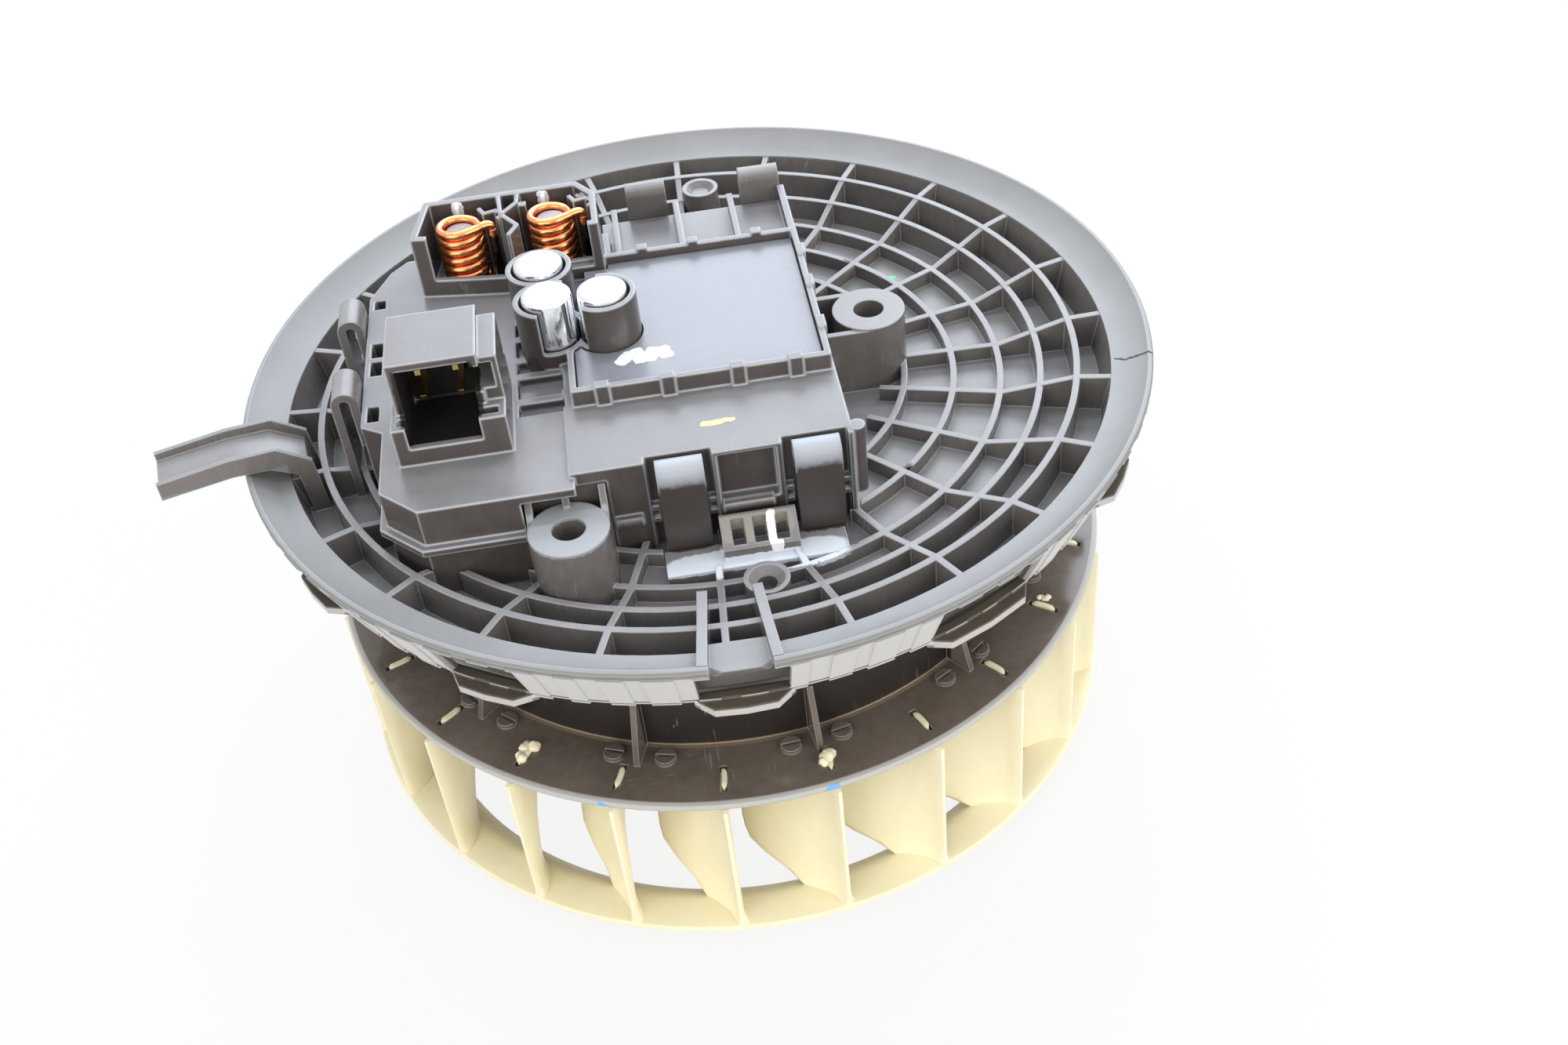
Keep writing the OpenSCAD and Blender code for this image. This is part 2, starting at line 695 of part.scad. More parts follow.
// Two cells that hold the chokes
module choke_cells() {
    difference() {
        prism(cell_outline(), platform_z - cut, cell_top);
        difference() {
            prism(grown(cell_outline(), -cell_t), platform_z, cell_top + cut);
        }
        block([cell_l + 3, cell_f - 4, platform_z + 4.2], [cell_r - 2.4, cell_f + 4.4, cell_top + cut]);
    }
    for (x = [cell_l + 9, cell_mid + 8.5])
        block([x, cell_b - cell_t - 1.6, platform_z], [x + 1.1, cell_b - cell_t + 0.5, cell_top - 1]);
    for (at = coil_mids)
        prism(strip([for (p = [[4.6, 5], [5.7, 2.5], [8.5, 3.2], [10, 0.9], [8.7, -0.5]]) at + p], cell_rib_t),
            platform_z - 0.5, cell_top - 0.5);
    c = coil_mids[0] + [9.6, 0.6];
    prism(strip([[cell_mid + 3.4, cell_b - 0.5], [cell_mid + 3.1, cell_b - 5], c, [cell_mid + 3, cell_f + 2.6],
        [cell_mid + 1, cell_f - 1.2]], cell_rib_t), platform_z - 0.4, cell_top - 0.2);
    prism(strip([[cell_mid - 1, cell_b - 0.6], c], cell_rib_t), platform_z - 0.3, cell_top);
    block([cell_mid + 2.1, cell_b - 5.4, platform_z - 0.2], [cell_mid + 5.2, cell_b - 3.9, cell_top - 1]);
    block([cell_r - 4.4, cell_b - 5.2, platform_z - 0.2], [cell_r - 1, cell_b - 3.9, cell_top - 1]);
}
// Round cups that hold the capacitors
module capacitor_cups() {
    for (i = [0:1]) post(cap_mids[i], cup_r, platform_z - cut, cap_top - 1.2);
    post(cap_mids[2], cup_r, deck_z - cut, cap_top - 0.8);
}
// Holes that the capacitors stand in
module capacitor_holes() {
    for (at = cap_mids) post(at, cap_d / 2 + cup_gap, floor_z - cut, cap_top + cut);
    translate([cap_mids[1][0] - 2.2, cap_mids[1][1] - cup_r - cut, deck_z + 2.6])
        cube([cup_r + 2.2, cup_r + cut, cap_top]);
    translate([cap_mids[2][0] - cup_r - cut, cap_mids[2][1] + 1, deck_z + 5])
        cube([cup_r, cup_r - 0.2, cap_top]);
}
// Pockets and cross ribs on the plug platform
module platform_pockets() {
    for (span = [[-28.8, -24.6], [-22.6, -15.6], [-13.6, -9.6], [-7.6, -1.6], [0.4, 5]])
        block([plug_base_r + 1.2, span[0], platform_z - 1.8], [module_l - 0.6, span[1], platform_z + cut]);
    for (span = [[-22.8, -17.4], [-6.4, -1], [0.4, 6], [19.4, 23]])
        block([platform_side_l + 1.2, span[0], ledge_z + 1.2], [platform_l - 0.8, span[1], platform_z + cut]);
}
// Recess in the housing's front for the large boss that stands there
module boss_recess() {
    gap = 0.4;
    post(boss_a, boss_r + gap, floor_z - cut, platform_z - case_t);
    block([boss_a[0] - boss_r - gap, platform_f - 3, floor_z - cut],
        [boss_a[0] + boss_r + gap, boss_a[1] + boss_r + gap, platform_z - case_t]);
}
// Notches in the housing for the front clips, and the window between them
module clip_notches() {
    half = clip_w / 2 + clip_side;
    for (x = clip_front_x) block([x - half, module_f - cut, floor_z - cut], [x + half, clip_face_front, deck_z + cut]);
    block([0, module_f - cut, -3.1], [11.9, module_f + 3, deck_z - 0.9]);
}
// Ledges that the inner legs of the clips press on
module clip_ledges() {
    for (x = clip_front_x)
        block([x - 3, clip_face_front - 2.3, -1], [x + 3, clip_face_front + cut, 3.2]);
    for (x = clip_back_x)
        block([x - 3, clip_face_back - cut, -1], [x + 3, clip_face_back + 2.3, 3.2]);
    for (y = clip_left_y)
        block([platform_side_l - 2.3, y - 3, -1], [platform_side_l + cut, y + 3, 3.2]);
}
// Small square lugs beside the front clips
module clip_lugs() {
    for (x = clip_front_x, side = [-1, 1])
        translate([x + side * (clip_w / 2 + clip_side - 0.7), clip_face_front - 1.6, -5.8])
            difference() {
                translate([-1, 0, 0]) cube([2, 1.9, 4.2]);
                translate([-2, -cut, 1.1]) cube([4, 1.7, 2]);
            }
}
// Pairs of round bars on the housing's front
module front_bars() {
    for (span = [[-21.6, -16], [0.2, 10.6]]) {
        translate([span[0], module_f, -4.6]) rotate([0, 90, 0])
            cylinder(r = 0.9, h = span[1] - span[0]);
        translate([span[0], module_f + 0.3, -2.9]) rotate([0, 90, 0])
            cylinder(r = 0.6, h = span[1] - span[0]);
    }
}
// Space for the circuit board under the levels of the housing
module board_space() {
    prism(grown(board_outline(), 0.4), floor_z - cut, back_z - case_t);
    difference() {
        prism(grown(board_outline(), 0.4), floor_z - cut, platform_z - case_t);
        block([cell_r - 2, cell_f - 0.5, -cut], [module_r, module_b, deck_z]);
    }
    block([module_l, clip_face_front + 2.2, 0], [module_r - 2.8, cell_f - 2, deck_z - case_t]);
}
// The controller housing: deck, tray, socket, choke cells and capacitor cups
module controller_housing() color("#2b2b2c") {
    difference() {
        union() {
            difference() {
                case_body();
                board_space();
                boss_recess();
                clip_notches();
                platform_pockets();
            }
            clip_ledges();
            clip_lugs();
            front_bars();
            tray_wall();
            socket_body();
            choke_cells();
            capacitor_cups();
            for (at = board_posts) post(at, post_out_r, board_top_z, at[2]);
            back_fins();
            translate([module_r + 1, module_f + 1.8, -6]) cylinder(r = 1.6, h = deck_z + 6.4);
        }
        socket_space();
        capacitor_holes();
        choke_lead_holes();
        pin_holes();
        for (at = board_posts) post(at, board_screw_r + fit_gap, board_top_z - cut, back_z - case_t - 1);
    }
}
// Upright fins on the back level of the housing
module back_fins() {
    for (x = [-13.6, 1.2, 14.2]) block([x - 0.7, cell_f, back_z - cut], [x + 0.7, module_b - 0.6, deck_z]);
    block([-16.5, cell_f + 1, back_z - cut], [-13, cell_f + 2.4, deck_z - 0.5]);
}
// Holes for the ends of the choke wires
module choke_lead_holes() {
    for (at = coil_mids) {
        post([at[0] + coil_path_r(), at[1]], wire_d / 2 + 0.4, -cut, platform_z + cut);
        post([at[0] + lead_out[0], at[1] + lead_out[1]], wire_d / 2 + 0.4, -cut, platform_z + cut);
    }
}
// Holes for the tails of the contact pins
module pin_holes() {
    for (z = pin_rows_z, side = [-1, 1])
        block([pin_x(side) - pin_w / 2 - 0.05, plug_f + plug_d - 2.4 - cut, z - pin_w / 2 - 0.05],
            [pin_x(side) + pin_w / 2 + 0.05, plug_f + plug_d + cut, z + pin_w / 2 + 0.05]);
    for (z = [0, 1], side = [-1, 1])
        block([pin_x(side) - pin_w / 2 - 0.05, pin_tail_y(z) - pin_w / 2 - 0.05, -cut],
            [pin_x(side) + pin_w / 2 + 0.05, pin_tail_y(z) + pin_w / 2 + 0.05, platform_z + cut]);
}
function pin_x(side) = plug_mid_x + side * pin_pitch / 2;
function pin_tail_y(row) = plug_f + plug_d + 1.6 + row * 3;

// Gloss plate that covers the tray
module cover_plate() color("#3a3d47") {
    difference() {
        block([-25.5, -28.1, plate_z - plate_t], [25.4, 19.4, plate_z]);
        post(cap_mids[2], cup_r + 0.3, 0, plate_z + cut);
        post(cap_mids[1], cup_r + 0.3, 0, plate_z + cut);
        post(cap_mids[0], cup_r + 0.3, 0, plate_z + cut);
        block([-26, cap_mids[2][1], 0], [cap_mids[2][0] - 4, 20, plate_z + cut]);
        block([-26, cell_f - 2.4, 0], [cell_r + 0.4, 20, plate_z + cut]);
    }
}
// Circuit board
module circuit_board() color("darkgreen") {
    difference() {
        prism(board_outline(), board_low_z, board_top_z);
        for (at = board_posts) post(at, board_screw_r + fit_gap, board_low_z - cut, board_top_z + cut);
    }
}
// Four contact pins of the plug, each with a tail down to the board
module plug_pins() color("gold") {
    for (row = [0, 1], side = [-1, 1]) {
        z = pin_rows_z[row];
        x = pin_x(side);
        block([x - pin_w / 2, plug_f + 6, z - pin_w / 2], [x + pin_w / 2, pin_tail_y(row) + pin_w / 2, z + pin_w / 2]);
        block([x - pin_w / 2, pin_tail_y(row) - pin_w / 2, board_top_z], [x + pin_w / 2, pin_tail_y(row) + pin_w / 2, z]);
    }
}

// Radius of a choke winding's wire centre
function coil_path_r() = (coil_d - wire_d) / 2;
// Centre line of a choke wire: up from the board, round the core and down again
function coil_path() = concat(
    [for (z = [lead_low_z, platform_z - 1, coil_seat_z + 0.2]) [coil_path_r(), 0, z]],
    [for (i = [1:round(coil_turns * 16)])
        let (a = i * 22.5, t = i / (coil_turns * 16))
        [coil_path_r() * cos(a), coil_path_r() * sin(a), coil_seat_z + 1 + coil_rise * t]],
    [for (d = [[-3.4, -1.25, 1.05], [-1.9, -0.65, 1.25], [-0.6, -0.15, 1], [0, 0, 0.1], [0, 0, -1.3]])
        [lead_out[0] + d[0], lead_out[1] + d[1], coil_seat_z + coil_rise + d[2]]],
    [for (z = [platform_z, lead_low_z]) [lead_out[0], lead_out[1], z]]
);
// Tangents of a path
function tangents(p) = [
    for (i = [0:len(p) - 1]) unit(p[min(i + 1, len(p) - 1)] - p[max(i - 1, 0)])
];
// Normals carried along a path without twist
function normals(t, i = 0, n = [1, 0, 0]) =
    i == len(t) ? []
    : let (m = unit(n - (n * t[i]) * t[i])) concat([m], normals(t, i + 1, m));
// Round wire of diameter d along a path
module wire(path, d, sides) {
    t = tangents(path);
    n = normals(t);
    last = len(path) - 1;
    rings = [
        for (i = [0:last], k = [0:sides - 1])
            let (a = 360 * k / sides)
            path[i] + d / 2 * (cos(a) * n[i] + sin(a) * cross(t[i], n[i]))
    ];
    skin = [
        for (i = [0:last - 1], k = [0:sides - 1])
            let (m = (k + 1) % sides)
            [i * sides + m, i * sides + k, (i + 1) * sides + k, (i + 1) * sides + m]
    ];
    ends = [[for (k = [0:sides - 1]) k], [for (k = [0:sides - 1]) last * sides + sides - 1 - k]];
    polyhedron(rings, concat(skin, ends));
}
// One choke winding
module choke_coil(at) color("#c4682c") {
    translate([at[0], at[1], 0]) wire(coil_path(), wire_d, 8);
}
module choke_coil_left() choke_coil(coil_mids[0]);
module choke_coil_right() choke_coil(coil_mids[1]);
// One ferrite rod
module choke_core(at) color("#4a4a4c") {
    translate([at[0], at[1], platform_z])
        cylinder(r = core_r, h = coil_seat_z + coil_rise - platform_z - 0.6);
}
module choke_core_left() choke_core(coil_mids[0]);
module choke_core_right() choke_core(coil_mids[1]);

// One capacitor can with a scored top and a rolled neck
module capacitor(at) color("silver") {
    r = cap_d / 2 - sleeve_t - 0.02;
    translate([at[0], at[1], 0]) difference() {
        rotate_extrude() polygon([
            [0, cap_low_z], [r, cap_low_z], [r, cap_low_z + 1.6], [r - 0.5, cap_low_z + 2.2],
            [r - 0.5, cap_low_z + 2.8], [r, cap_low_z + 3.4], [r, cap_top - 0.7],
            [r - 0.2, cap_top - 0.2], [r - 0.7, cap_top], [0, cap_top]
        ]);
        for (a = [0, 60, 120])
            rotate([0, 0, a]) translate([-r * 0.55, -0.15, cap_top - 0.15]) cube([r * 1.1, 0.3, 1]);
    }
}
module capacitor_left() capacitor(cap_mids[0]);
module capacitor_middle() capacitor(cap_mids[1]);
module capacitor_right() capacitor(cap_mids[2]);
// Shrunk sleeves round the three capacitors
module capacitor_sleeves() color("#1c1c20") {
    for (at = cap_mids)
        translate([at[0], at[1], 0]) rotate_extrude() polygon([
            [cap_d / 2 - sleeve_t, cap_low_z + 3.6], [cap_d / 2, cap_low_z + 3.6],
            [cap_d / 2, platform_z], [cap_d / 2 - sleeve_t, platform_z]
        ]);
}

// Places of the power transistors on the heat sink
function transistor_places() = [for (x = [-14, 0, 14], y = [-30, -6]) [x, y]];
// Six power transistors with their legs up to the board
module power_transistors() color("#222224") {
    for (at = transistor_places()) {
        block([at[0] - 5, at[1] - 4.5, sink_top_z()], [at[0] + 5, at[1] + 4.5, sink_top_z() + 4.4]);
        for (x = [-2.5, 0, 2.5])
            block([at[0] + x - 0.4, at[1] + 3.5, sink_top_z() + 3.4], [at[0] + x + 0.4, at[1] + 4, board_low_z]);
    }
}
// Height of the heat sink's top face
function sink_top_z() = floor_z + 2.4;
// Finned heat sink that reaches down through the flange
module heat_sink() color("lightgray") {
    half = [sink_window[0] / 2 + 1.8, sink_window[1] / 2 + 1.8];
    block([sink_mid[0] - half[0], sink_mid[1] - half[1], floor_z], [sink_mid[0] + half[0], sink_mid[1] + half[1], sink_top_z()]);
    block([sink_mid[0] - sink_window[0] / 2 + 0.4, sink_mid[1] - sink_window[1] / 2 + 0.4, floor_low_z],
        [sink_mid[0] + sink_window[0] / 2 - 0.4, sink_mid[1] + sink_window[1] / 2 - 0.4, floor_z + 0.5]);
    for (i = [0:9]) {
        x = sink_mid[0] - sink_window[0] / 2 + 0.8 + i * (sink_window[0] - 3) / 9;
        block([x, sink_mid[1] - sink_window[1] / 2 + 0.4, carrier_top_z + 1.4],
            [x + 1.4, sink_mid[1] + sink_window[1] / 2 - 0.4, floor_low_z + 0.5]);
    }
}
// Screws that hold the board to the housing's posts
module board_screws() color("silver") {
    for (at = board_posts) {
        post(at, board_screw_r, board_low_z - 0.4, back_z - case_t - 1.4);
        translate([at[0], at[1], board_low_z - 1.9]) difference() {
            cylinder(r = 2.4, h = 1.9);
            translate([0, 0, -cut]) cylinder(r = 1, h = 1.8, $fn = 6);
        }
    }
}

// Motor carrier: a plate with the bearing tube
module motor_carrier() color("#8d9196") {
    difference() {
        rotate_extrude() polygon([
            [shoulder_r, tube_low_z], [tube_r, tube_low_z], [tube_r, carrier_low_z - 2],
            [tube_r + 2, carrier_low_z], [carrier_r, carrier_low_z], [carrier_r, carrier_top_z],
            [shoulder_r, carrier_top_z]
        ]);
        post([0, 0], bearing_r + 0.02, upper_seat_z, carrier_top_z + cut);
        post([0, 0], bearing_r + 0.02, tube_low_z - cut, lower_seat_z);
        for (i = [0:2])
            post(polar(post_ring_r, post_turn + i * 120), grommet_neck_r + 0.02, carrier_low_z - cut, carrier_top_z + cut);
        for (i = [0:2])
            sector(24, 44, carrier_low_z - cut, carrier_top_z + cut, post_turn + 60 + i * 120, 30);
        for (side = [-1, 0, 1])
            post([side * lead_gap, lead_y], 2, carrier_low_z - cut, carrier_top_z + cut);
    }
}
// Rubber mounts between the flange and the motor carrier
module rubber_mounts() color("#161616") {
    for (i = [0:2])
        translate(concat(polar(post_ring_r, post_turn + i * 120), [0])) rotate_extrude() polygon([
            [screw_r + fit_gap, grommet_low_z], [grommet_r - 0.4, grommet_low_z],
            [grommet_r, grommet_low_z + 0.4], [grommet_r, carrier_low_z],
            [grommet_neck_r, carrier_low_z], [grommet_neck_r, carrier_top_z],
            [grommet_r, carrier_top_z], [grommet_r, post_low_z - 0.4],
            [grommet_r - 0.4, post_low_z], [screw_r + fit_gap, post_low_z]
        ]);
}
// Screws that hold the motor carrier
module motor_screws() color("silver") {
    for (i = [0:2])
        translate(concat(polar(post_ring_r, post_turn + i * 120), [0])) {
            post([0, 0], screw_r, grommet_low_z - 0.5, floor_low_z - 0.6);
            difference() {
                post([0, 0], screw_head_r, grommet_low_z - screw_head_h, grommet_low_z);
                translate([0, 0, grommet_low_z - screw_head_h - cut]) cylinder(r = 2, h = 1 + cut, $fn = 6);
            }
        }
}
// Widened tip of one stator tooth, in plan
module tooth_tip() {
    intersection() {
        difference() {
            circle(r = stator_r);
            circle(r = tooth_tip_in);
        }
        polygon([[0, 0], polar(stator_r * 1.2, -tooth_tip_half), polar(stator_r * 1.2, tooth_tip_half)]);
    }
}
// Laminated stator core with its teeth
module stator_core() color("#5b5f66") {
    translate([0, 0, stack_low_z]) linear_extrude(stack_h) difference() {
        union() {
            circle(r = yoke_r);
            for (i = [0:tooth_count - 1]) rotate(i * 360 / tooth_count) {
                translate([yoke_r - 2, -tooth_w / 2]) square([tooth_tip_in - yoke_r + 3, tooth_w]);
                tooth_tip();
            }
        }
        circle(r = tube_r + 0.02);
    }
}
// Windings, one round each tooth
module stator_windings() color("#b5642d") {
    for (i = [0:tooth_count - 1]) rotate([0, 0, i * 360 / tooth_count]) difference() {
        block([yoke_r + 1.2, -tooth_w / 2 - winding_t, stack_low_z - winding_t],
            [tooth_tip_in - 0.6, tooth_w / 2 + winding_t, stack_top_z + winding_t]);
        block([yoke_r, -tooth_w / 2 - 0.05, stack_low_z - 0.05], [tooth_tip_in, tooth_w / 2 + 0.05, stack_top_z + 0.05]);
    }
}
// Three leads from the windings up to the board
module phase_leads() color("#b5642d") {
    for (side = [-1, 0, 1])
        post([side * lead_gap, lead_y], 0.9, stack_top_z + winding_t + 0.1, board_low_z);
}
// A ball bearing as one sealed unit, with its lower face at a height
module bearing(low) {
    translate([0, 0, low]) difference() {
        cylinder(r = bearing_r, h = bearing_w);
        translate([0, 0, -cut]) cylinder(r = shaft_r + run_gap, h = bearing_w + 2 * cut);
        for (z = [-cut, bearing_w - 0.4])
            translate([0, 0, z]) tube(bearing_r - 4.6, bearing_r - 1.6, 0, cut + 0.4);
    }
}
module upper_bearing() color("lightsteelblue") bearing(upper_seat_z);
module lower_bearing() color("lightsteelblue") bearing(tube_low_z);

// Motor shaft with the groove for its clip
module motor_shaft() color("silver") {
    rotate_extrude() polygon([
        [0, shaft_low_z], [shaft_r - 0.6, shaft_low_z], [shaft_r, shaft_low_z + 0.6],
        [shaft_r, clip_groove_z], [clip_groove_r, clip_groove_z],
        [clip_groove_r, clip_groove_z + clip_groove_h], [shaft_r, clip_groove_z + clip_groove_h],
        [shaft_r, shaft_top_z], [0, shaft_top_z]
    ]);
}
// Open ring that keeps the shaft in the upper bearing
module shaft_clip() color("#6d6f73") {
    difference() {
        tube(clip_groove_r + 0.03, shaft_r + 2.2, clip_groove_z + 0.05, clip_groove_z + clip_groove_h - 0.05);
        block([0, -clip_groove_r + 0.4, clip_groove_z - cut], [shaft_r + 4, clip_groove_r - 0.4, clip_groove_z + cut + 1]);
    }
}
// Steel cup of the external rotor
module rotor_cup() color("#9a9ea3") {
    difference() {
        rotate_extrude() polygon([
            [shaft_r + 0.02, cup_low_z], [rotor_r - 1.5, cup_low_z], [rotor_r, cup_low_z + 1.5],
            [rotor_r, cup_top_z], [rotor_r - rotor_t, cup_top_z], [rotor_r - rotor_t, cup_low_z + cup_floor_t],
            [cup_sleeve_r, cup_low_z + cup_floor_t], [cup_sleeve_r, cup_low_z + cup_sleeve_h],
            [shaft_r + 0.02, cup_low_z + cup_sleeve_h]
        ]);
        for (i = [0:5])
            post(polar((cup_sleeve_r + rotor_r) / 2, i * 60), 6, cup_low_z - cut, cup_low_z + cup_floor_t + cut);
    }
}
// Arc magnets inside the rotor cup
module rotor_magnets() color("#3b3b3e") {
    for (i = [0:magnet_count - 1])
        sector(magnet_in_r, magnet_out_r, magnet_low_z, magnet_top_z, i * 360 / magnet_count, 180 / magnet_count - 0.8);
}

// Wheel hub: back disc with drum, cooling vanes and the dome round the motor
module wheel_hub() color("#232324") {
    difference() {
        union() {
            rotate_extrude() polygon([
                [dome_top_r + 2, disc_low_z], [disc_r - 1, disc_low_z], [disc_r - 0.3, disc_low_z + 0.3],
                [disc_r, disc_low_z + 1], [disc_r - 0.3, disc_z - 0.3], [disc_r - 1, disc_z],
                [drum_r, disc_z], [drum_r, drum_top_z], [drum_r - drum_t, drum_top_z],
                [drum_r - drum_t, disc_z], [dome_top_r, disc_z], [dome_r, disc_z - 7],
                [dome_r - 0.5, cup_low_z - 0.5], [dome_r - 4, cup_low_z - 3.5], [hub_r, cup_low_z - 4.5],
                [hub_r, cup_low_z], [shaft_r + 0.02, cup_low_z], [shaft_r + 0.02, shaft_low_z + 2.5],
                [hub_r - 4, shaft_low_z + 2.5], [hub_r - 3, cup_low_z - 7],
                [dome_r - 3, cup_low_z - 5.5], [dome_r + 1.5, cup_low_z - 1.5], [dome_r + 2, disc_low_z - 6]
            ]);
            for (i = [0:vane_count - 1]) rotate([0, 0, vane_turn + i * 360 / vane_count]) {
                rotate([90, 0, 0]) translate([0, 0, -vane_t / 2]) linear_extrude(vane_t)
                    polygon([[drum_r - 0.5, disc_z - 0.5], [vane_foot_r, disc_z - 0.5],
                        [vane_foot_r, disc_z + 0.8], [drum_r + 2.2, drum_top_z - 2], [drum_r - 0.5, drum_top_z - 2]]);
                for (side = [-1, 1]) rotate([0, 0, side * 4.1]) stud();
            }
        }
        for (i = [0:blade_count - 1]) rotate([0, 0, blade_turn + i * 360 / blade_count])
            block([tab_in_r - slot_gap, -stake_t / 2 - slot_gap, disc_low_z - cut],
                [tab_out_r + slot_gap, stake_t / 2 + slot_gap, disc_z + cut]);
    }
}
// Low split stud beside a cooling vane
module stud() {
    translate([drum_r + 4, 0, disc_z - 0.4]) difference() {
        cylinder(r = 2.2, h = 1.4, $fn = 32);
        translate([-0.35, -3, 0.6]) cube([0.7, 6, 2]);
    }
}

// Radius where the leading edge of a blade lies at a share s of its height
function edge_r(s) =
    s < edge_mid ? edge_top_r + (edge_mid_r - edge_top_r) * s / edge_mid
    : edge_mid_r + (edge_foot_r - edge_mid_r) * pow((s - edge_mid) / (1 - edge_mid), 1.3);
// Sweep of a blade in degrees at radius r and a share s of its height
function sweep(r, s) = -sweep_rate * pow(max(0, tip_r - r), 2) * s;
// Half the blade's thickness as an angle, measured square to the blade
function half_angle(r, s) =
    let (slope = r * 2 * sweep_rate * (tip_r - r) * s * PI / 180)
    blade_t / 2 / r * 180 / PI * sqrt(1 + slope * slope);
// Both triangles of a face with four corners
function halves(f) = [[f[0], f[1], f[2]], [f[0], f[2], f[3]]];
// All triangles of a list of faces with four corners
function split(faces) = [for (f = faces) each halves(f)];
blade_steps = 7;
blade_rows = 4;
// One blade: radial at the disc and swept back towards its foot
module blade() {
    n = blade_steps + 1;
    m = blade_rows + 1;
    points = [
        for (side = [1, -1], j = [0:blade_rows], i = [0:blade_steps])
            let (
                s = j / blade_rows,
                r = tip_r + (edge_r(s) - tip_r) * i / blade_steps,
                p = polar(r, sweep(r, s) + side * half_angle(r, s))
            )
            [p[0], p[1], disc_low_z - s * (blade_h + eye_t / 2)]
    ];
    front = [
        for (j = [0:m - 2], i = [0:n - 2])
            [j * n + i, j * n + i + 1, (j + 1) * n + i + 1, (j + 1) * n + i]
    ];
    back = [for (f = front) [n * m + f[0], n * m + f[3], n * m + f[2], n * m + f[1]]];
    loop = concat(
        [for (i = [0:n - 1]) i], [for (j = [1:m - 1]) j * n + n - 1],
        [for (i = [n - 2:-1:0]) (m - 1) * n + i], [for (j = [m - 2:-1:1]) j * n]
    );
    edge = [
        for (k = [0:len(loop) - 1])
            let (a = loop[k], b = loop[(k + 1) % len(loop)])
            [b, a, n * m + a, n * m + b]
    ];
    polyhedron(points, split(concat(front, back, edge)));
}
// Blade ring: all blades on their inlet ring, with the tabs that lock into the disc
module blade_ring() color("#efe2bd") {
    rotate_extrude() polygon([
        [tip_r + 0.4, rim_ring_z], [lip_r, rim_ring_z], [lip_r - 2.6, rim_ring_z - 0.8],
        [lip_r - 5, rim_ring_z - 2.6], [eye_r + 0.5, rim_ring_z - 5.2], [eye_r, rim_ring_z - eye_drop],
        [eye_r + eye_t, rim_ring_z - eye_drop], [eye_r + eye_t + 0.5, rim_ring_z - 5.4],
        [lip_r - 3.8, rim_ring_z - 3.4], [lip_r - 1.6, rim_ring_z - 2.1],
        [lip_r + 0.6, rim_ring_z - eye_t], [tip_r + 0.4, rim_ring_z - eye_t]
    ]);
    for (i = [0:blade_count - 1]) rotate([0, 0, blade_turn + i * 360 / blade_count]) {
        blade();
        block([tab_in_r, -stake_t / 2, disc_low_z - 0.8], [tab_out_r, stake_t / 2, disc_z + stake_rise]);
    }
}

carrier_flange();
controller_housing();
cover_plate();
circuit_board();
plug_pins();
choke_coil_left();
choke_coil_right();
choke_core_left();
choke_core_right();
capacitor_left();
capacitor_middle();
capacitor_right();
capacitor_sleeves();
power_transistors();
heat_sink();
board_screws();
motor_carrier();
rubber_mounts();
motor_screws();
stator_core();
stator_windings();
phase_leads();
upper_bearing();
lower_bearing();
motor_shaft();
shaft_clip();
rotor_cup();
rotor_magnets();
wheel_hub();
blade_ring();
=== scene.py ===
"""Looks of a car heater's blower fan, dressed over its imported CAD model.

The fan lies on its inlet: a ribbed mounting flange with the electronics on top, and under it the
wheel with its back disc and cream blades. Lengths in the classes are millimetres in the CAD frame,
whose origin is the middle of the rim's lip, with X right, Y away from the camera and Z up.
"""
import logging
import math
import random
from collections.abc import Callable, Iterable, Sequence
from dataclasses import dataclass
from enum import Enum

import bmesh
import bpy
from mathutils import Matrix, Vector, noise


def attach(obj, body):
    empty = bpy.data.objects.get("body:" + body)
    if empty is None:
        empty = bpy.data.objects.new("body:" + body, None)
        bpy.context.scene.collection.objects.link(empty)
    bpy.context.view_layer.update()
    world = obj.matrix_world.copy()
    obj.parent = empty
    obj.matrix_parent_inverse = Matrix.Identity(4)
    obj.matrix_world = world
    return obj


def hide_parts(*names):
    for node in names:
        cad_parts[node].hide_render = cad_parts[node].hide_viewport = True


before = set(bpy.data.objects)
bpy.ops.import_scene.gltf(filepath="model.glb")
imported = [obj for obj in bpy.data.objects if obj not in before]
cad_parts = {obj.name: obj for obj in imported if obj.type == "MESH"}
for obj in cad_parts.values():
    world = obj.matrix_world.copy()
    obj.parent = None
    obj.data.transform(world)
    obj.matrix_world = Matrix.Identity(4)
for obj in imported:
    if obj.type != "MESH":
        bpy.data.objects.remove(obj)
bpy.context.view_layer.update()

MM = 0.001
WELD = 0.004 * MM

log = logging.getLogger("blower_fan")

Colour = tuple[int, int, int]
Point = tuple[float, float, float]
Socket = bpy.types.NodeSocket


class Body(Enum):
    """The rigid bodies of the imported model."""

    CARRIER = "carrier"
    WHEEL = "wheel"


def linear(colour: Colour) -> tuple[float, float, float, float]:
    """Turns a screen colour into Blender's linear light.

    Args:
        colour: Red, green and blue from 0 to 255.

    Returns:
        Linear red, green and blue, and an alpha of 1.
    """
    parts = [c / 255 for c in colour]
    return (*[c / 12.92 if c <= 0.04045 else ((c + 0.055) / 1.055) ** 2.4 for c in parts], 1.0)


def polar(radius: float, degrees: float, height: float) -> Vector:
    """Gives the point at a radius and an angle round the fan's axis, at a height."""
    turn = math.radians(degrees)
    return Vector((radius * math.cos(turn), radius * math.sin(turn), height))


# ---------------------------------------------------------------- node trees


